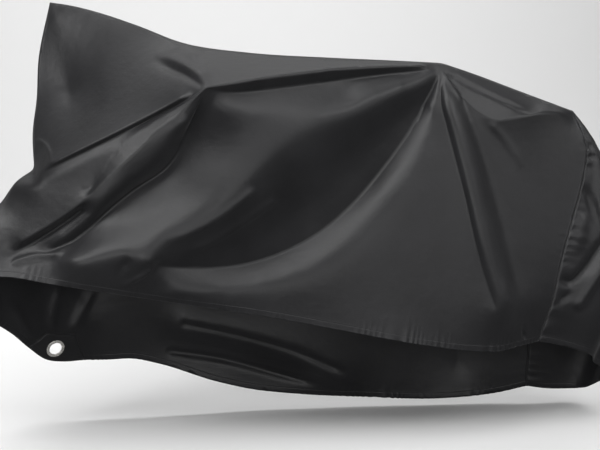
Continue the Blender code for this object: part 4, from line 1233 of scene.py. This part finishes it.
cover_cloth = cloth_finish("coated polyester", COVER_BLACK, 0.40)
patch_cloth = cloth_finish("patch polyester", COVER_BLACK, 0.54)
for name, piece in pieces.items():
    piece.data.materials.append(patch_cloth if name == "eyelet_patch" else cover_cloth)
print("cloth finishes:", cover_cloth.name, "and", patch_cloth.name)

# %% [markdown]
# ## Stitches
#
# A lockstitch machine lays one short run of thread after another at an even pitch.
# One stitch is modelled, and a Geometry Nodes tree repeats it along every row and
# turns it to lie along the row.  A texture could fake the row, but real stitches catch
# the light along their ridges.

# %% A tree that lays stitches
STITCH_PITCH, STITCH_LENGTH, THREAD_RADIUS = 0.0050, 0.0032, 0.00038


def stitching_tree(thread):
    """A tree that lays one stitch at every pitch along the edges it is given."""
    tree = bpy.data.node_groups.new("stitching", "GeometryNodeTree")
    face = tree.interface
    face.new_socket("Geometry", in_out="INPUT", socket_type="NodeSocketGeometry")
    for label in ("Pitch", "Length", "Thread"):
        face.new_socket(label, in_out="INPUT", socket_type="NodeSocketFloat")
    face.new_socket("Geometry", in_out="OUTPUT", socket_type="NodeSocketGeometry")
    given = wire(tree, "NodeGroupInput").outputs
    rows = wire(tree, "GeometryNodeMeshToCurve", Mesh=given["Geometry"])
    spots = wire(tree, "GeometryNodeCurveToPoints", {"mode": "LENGTH"},
                 Curve=rows.outputs["Curve"], Length=given["Pitch"])
    stitch = wire(tree, "GeometryNodeMeshUVSphere", Segments=6, Rings=4, Radius=1.0)
    size = wire(tree, "ShaderNodeCombineXYZ", X=given["Thread"], Y=given["Thread"],
                Z=maths(tree, "MULTIPLY", given["Length"], 0.5))
    laid = wire(tree, "GeometryNodeInstanceOnPoints", Points=spots.outputs["Points"],
                Instance=stitch.outputs["Mesh"], Rotation=spots.outputs["Rotation"],
                Scale=size.outputs["Vector"])
    real = wire(tree, "GeometryNodeRealizeInstances", Geometry=laid.outputs["Instances"])
    ready = wire(tree, "GeometryNodeSetMaterial", Geometry=real.outputs["Geometry"],
                 Material=thread)
    wire(tree, "NodeGroupOutput", Geometry=ready.outputs["Geometry"])
    return tree


# %% Stitches along every row
def lay_stitches(name, paths, tree):
    """One mesh of all the stitches along a piece's rows."""
    ends = np.cumsum([0] + [len(path) for path in paths])
    data = bpy.data.meshes.new(name)
    data.from_pydata(np.vstack(paths).tolist(),
                     [(i, i + 1) for a, b in zip(ends, ends[1:]) for i in range(a, b - 1)], [])
    item = add_to_scene(name, data)
    maker = item.modifiers.new("stitching", "NODES")
    maker.node_group = tree
    given = {"Pitch": STITCH_PITCH, "Length": STITCH_LENGTH, "Thread": THREAD_RADIUS}
    for socket in tree.interface.items_tree:
        if socket.name in given:
            maker[socket.identifier] = given[socket.name]
    graph = bpy.context.evaluated_depsgraph_get()
    solid = bpy.data.meshes.new_from_object(item.evaluated_get(graph))
    item.modifiers.remove(maker)
    item.data = solid
    bpy.data.meshes.remove(data)
    solid.shade_smooth()
    return item


def thread_finish():
    """Dull black thread with a little fuzz."""
    material, tree, shader = new_material("polyester thread")
    place = wire(tree, "ShaderNodeTexCoord").outputs["Object"]
    fuzz = wire(tree, "ShaderNodeTexNoise", Vector=place, Scale=900.0, Detail=2.0).outputs[0]
    shade = blend(tree, fuzz, (0.012, 0.012, 0.013), (0.030, 0.030, 0.032))
    tree.links.new(shade, shader.inputs["Base Color"])
    shader.inputs["Roughness"].default_value = 0.48
    return material


stitching = stitching_tree(thread_finish())
threads = {name: lay_stitches(pieces[name].name.replace("cloth", "stitches"), paths, stitching)
           for name, paths in stitch_paths.items()}
for thread in threads.values():
    print(thread.name, "has", len(thread.data.polygons), "faces")

# %% [markdown]
# ## The eyelet ring
#
# A real eyelet is a washer and a flanged tube that a press rolls over it.  Both halves
# are turned shapes.  They could be two solids, but no gap shows between them, so one
# rounded profile swept round the hole's axis gives the ring, with its rolled lip on
# both sides of the cloth.

# %% The eyelet ring
EYELET_BORE, EYELET_RIM = 0.0190, 0.0280        # radii of the opening and of the flanges
RING_SIDES, LIP_STEPS = 64, 8
FLANGE, RING_GAP = 0.0011, 0.0003
BARREL_CLEAR = 0.0008           # between the tube and the edge of the hole


def lip(height, away, start):
    """A rolled flange from the bore to the rim; away is 1 or -1 for its side."""
    profile = []
    for k in range(LIP_STEPS + 1):
        turn = math.pi * k / LIP_STEPS
        middle, half = (EYELET_BORE + EYELET_RIM) / 2, (EYELET_RIM - EYELET_BORE) / 2
        profile.append((middle - half * math.cos(turn),
                        height + away * FLANGE * math.sin(turn) ** 0.6))
    return profile if start else profile[::-1]


def eyelet_ring():
    """The pressed ring as one turned mesh, on the patch's own plane."""
    front, back = RING_GAP, -CLOTH - RING_GAP
    barrel = EYELET_HOLE - BARREL_CLEAR
    profile = (lip(front, 1, True) + [(barrel, front), (barrel, back)] + lip(back, -1, False))
    turns = [2 * math.pi * k / RING_SIDES for k in range(RING_SIDES)]
    verts = [(r * math.cos(t), r * math.sin(t), h) for t in turns for r, h in profile]
    count = len(profile)
    quads = [(k * count + j, ((k + 1) % RING_SIDES) * count + j,
              ((k + 1) % RING_SIDES) * count + (j + 1) % count, k * count + (j + 1) % count)
             for k in range(RING_SIDES) for j in range(count)]
    data = bpy.data.meshes.new("pressed_eyelet")
    place = Matrix(patch_axes()).transposed().to_4x4()
    place.translation = (EYELET_X, EYELET_Y, EYELET_Z)
    data.from_pydata([tuple(place @ Vector(v)) for v in verts], [], quads)
    data.shade_smooth()
    return add_to_scene("pressed_eyelet", data)


# %% Nickel plating
MARK_DEPTH = 0.00004
METALLIC = 0.6          # a full metal would mirror only the dark side of the studio


def metal_finish():
    """Nickel plating with fine turning marks, and dull spots where hands wore it."""
    material, tree, shader = new_material("nickel plating")
    place = wire(tree, "ShaderNodeTexCoord").outputs["Object"]
    marks = wire(tree, "ShaderNodeTexNoise", Vector=place, Scale=420.0, Detail=3.0).outputs[0]
    spots = wire(tree, "ShaderNodeTexNoise", Vector=place, Scale=120.0, Detail=4.0).outputs[0]
    worn = ramp(tree, spots, 0.52, 0.68)
    shade = blend(tree, worn, (0.62, 0.61, 0.58), (0.42, 0.40, 0.36))
    tree.links.new(shade, shader.inputs["Base Color"])
    tree.links.new(ramp(tree, worn, 0.0, 1.0, 0.24, 0.42), shader.inputs["Roughness"])
    bump = wire(tree, "ShaderNodeBump", Height=maths(tree, "MULTIPLY", marks, MARK_DEPTH),
                Strength=1.0, Distance=1.0)
    tree.links.new(bump.outputs["Normal"], shader.inputs["Normal"])
    shader.inputs["Metallic"].default_value = METALLIC
    return material


ring = eyelet_ring()
ring.data.materials.append(metal_finish())
print(ring.name, "is", round(2000 * EYELET_RIM), "mm across")

# %% [markdown]
# ## The floor
#
# A product is shown on a sweep of pale paper that curves up behind it, so that no
# horizon crosses the picture.  A flat plane would do from above, but a low camera sees
# its far edge.  One profile drawn from side to side makes floor, bend and backdrop.
# The floor stays out of glossy reflections, because satin cloth would mirror it from
# below and lose its dark hollows; a studio hangs black cards for the same reason.

# %% The floor
FLOOR_Z = -1.075
FLOOR_WIDE, FLOOR_FRONT, FLOOR_BACK = 14.0, -12.0, 4.5
SWEEP_RADIUS, SWEEP_HEIGHT, SWEEP_STEPS = 2.5, 9.0, 24


def lay_floor():
    """A pale floor that sweeps up into a backdrop behind the cover."""
    bend = [(FLOOR_BACK + SWEEP_RADIUS * math.sin(turn),
             FLOOR_Z + SWEEP_RADIUS * (1.0 - math.cos(turn)))
            for turn in np.linspace(0.0, math.pi / 2, SWEEP_STEPS)]
    profile = [(FLOOR_FRONT, FLOOR_Z)] + bend + [(bend[-1][0], FLOOR_Z + SWEEP_HEIGHT)]
    verts = [(side * FLOOR_WIDE, y, z) for y, z in profile for side in (-1, 1)]
    quads = [(2 * k, 2 * k + 1, 2 * k + 3, 2 * k + 2) for k in range(len(profile) - 1)]
    data = bpy.data.meshes.new("floor")
    data.from_pydata(verts, [], quads)
    data.shade_smooth()
    material, _, shader = new_material("pale floor")
    shader.inputs["Base Color"].default_value = (0.70, 0.70, 0.70, 1.0)
    shader.inputs["Roughness"].default_value = 0.9
    data.materials.append(material)
    item = add_to_scene("floor", data)
    item.visible_glossy = False


lay_floor()

# %% [markdown]
# ## The light
#
# Black satin shows only what it mirrors, so its folds are drawn by large soft lights,
# each placed to catch one family of slopes.  A single window or a sky would leave most
# of the cloth black.  A light's power follows from its size and its radiance, so that
# a light can be made larger without making its mirror image brighter.

# %% Softboxes
Softbox = namedtuple("Softbox", "name spot aim size radiance")
SOFTBOXES = (
    Softbox("front softbox", (-0.8, -5.2, 0.6), (-0.5, 0.0, -0.4), (7.0, 2.4), 2.1),
    Softbox("right softbox", (4.0, -3.2, 1.2), (-0.2, 0.0, -0.4), (3.0, 3.0), 1.3),
    Softbox("left softbox", (-3.6, -1.8, 2.0), (-0.7, 0.0, -0.2), (1.4, 1.2), 12.0),
    Softbox("front left softbox", (-2.7, -3.6, 0.0), (0.0, -0.1, -0.35), (1.2, 1.3), 4.2),
    Softbox("key softbox", (-1.3, -1.7, 2.4), (-0.6, -0.1, -0.3), (3.0, 1.6), 4.8),
    Softbox("high right softbox", (1.9, -2.3, 2.5), (-0.4, -0.1, -0.1), (2.2, 1.5), 5.0),
    Softbox("top softbox", (-0.5, -0.6, 2.8), (-0.5, 0.0, -0.3), (2.8, 1.4), 3.0),
    Softbox("back softbox", (-0.3, 3.2, 2.7), (-0.3, 0.0, -0.2), (7.0, 1.6), 0.82),
    Softbox("backdrop softbox", (-0.3, 1.6, 3.6), (-0.3, 6.0, 0.2), (7.0, 1.5), 10.0),
)
ROOM_LIGHT = 0.05


def hang_softbox(box):
    """An area light; its power follows from its size and the radiance asked for."""
    lamp = bpy.data.lights.new(box.name, "AREA")
    lamp.shape, (lamp.size, lamp.size_y) = "RECTANGLE", box.size
    lamp.energy = box.radiance * math.pi * box.size[0] * box.size[1]
    item = add_to_scene(box.name, lamp)
    item.location = box.spot
    ahead = Vector(box.aim) - Vector(box.spot)
    item.rotation_euler = ahead.to_track_quat("-Z", "Y").to_euler()


def light_room():
    """A faint even light from everywhere, as the walls of a studio throw back."""
    world = bpy.data.worlds.new("studio")
    bpy.context.scene.world = world
    world.use_nodes = True
    room = world.node_tree.nodes["Background"]
    room.inputs["Color"].default_value = (1.0, 1.0, 1.0, 1.0)
    room.inputs["Strength"].default_value = ROOM_LIGHT


light_room()
for box in SOFTBOXES:
    hang_softbox(box)
bpy.context.scene.view_settings.view_transform = "Standard"
print("lights:", ", ".join(box.name for box in SOFTBOXES))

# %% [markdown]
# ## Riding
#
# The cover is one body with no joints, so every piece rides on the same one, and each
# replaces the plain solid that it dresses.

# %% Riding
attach(ring, "root")
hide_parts("eyelet_ring")
for name, piece in pieces.items():
    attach(piece, "root")
    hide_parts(name)
    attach(threads[name], "root")
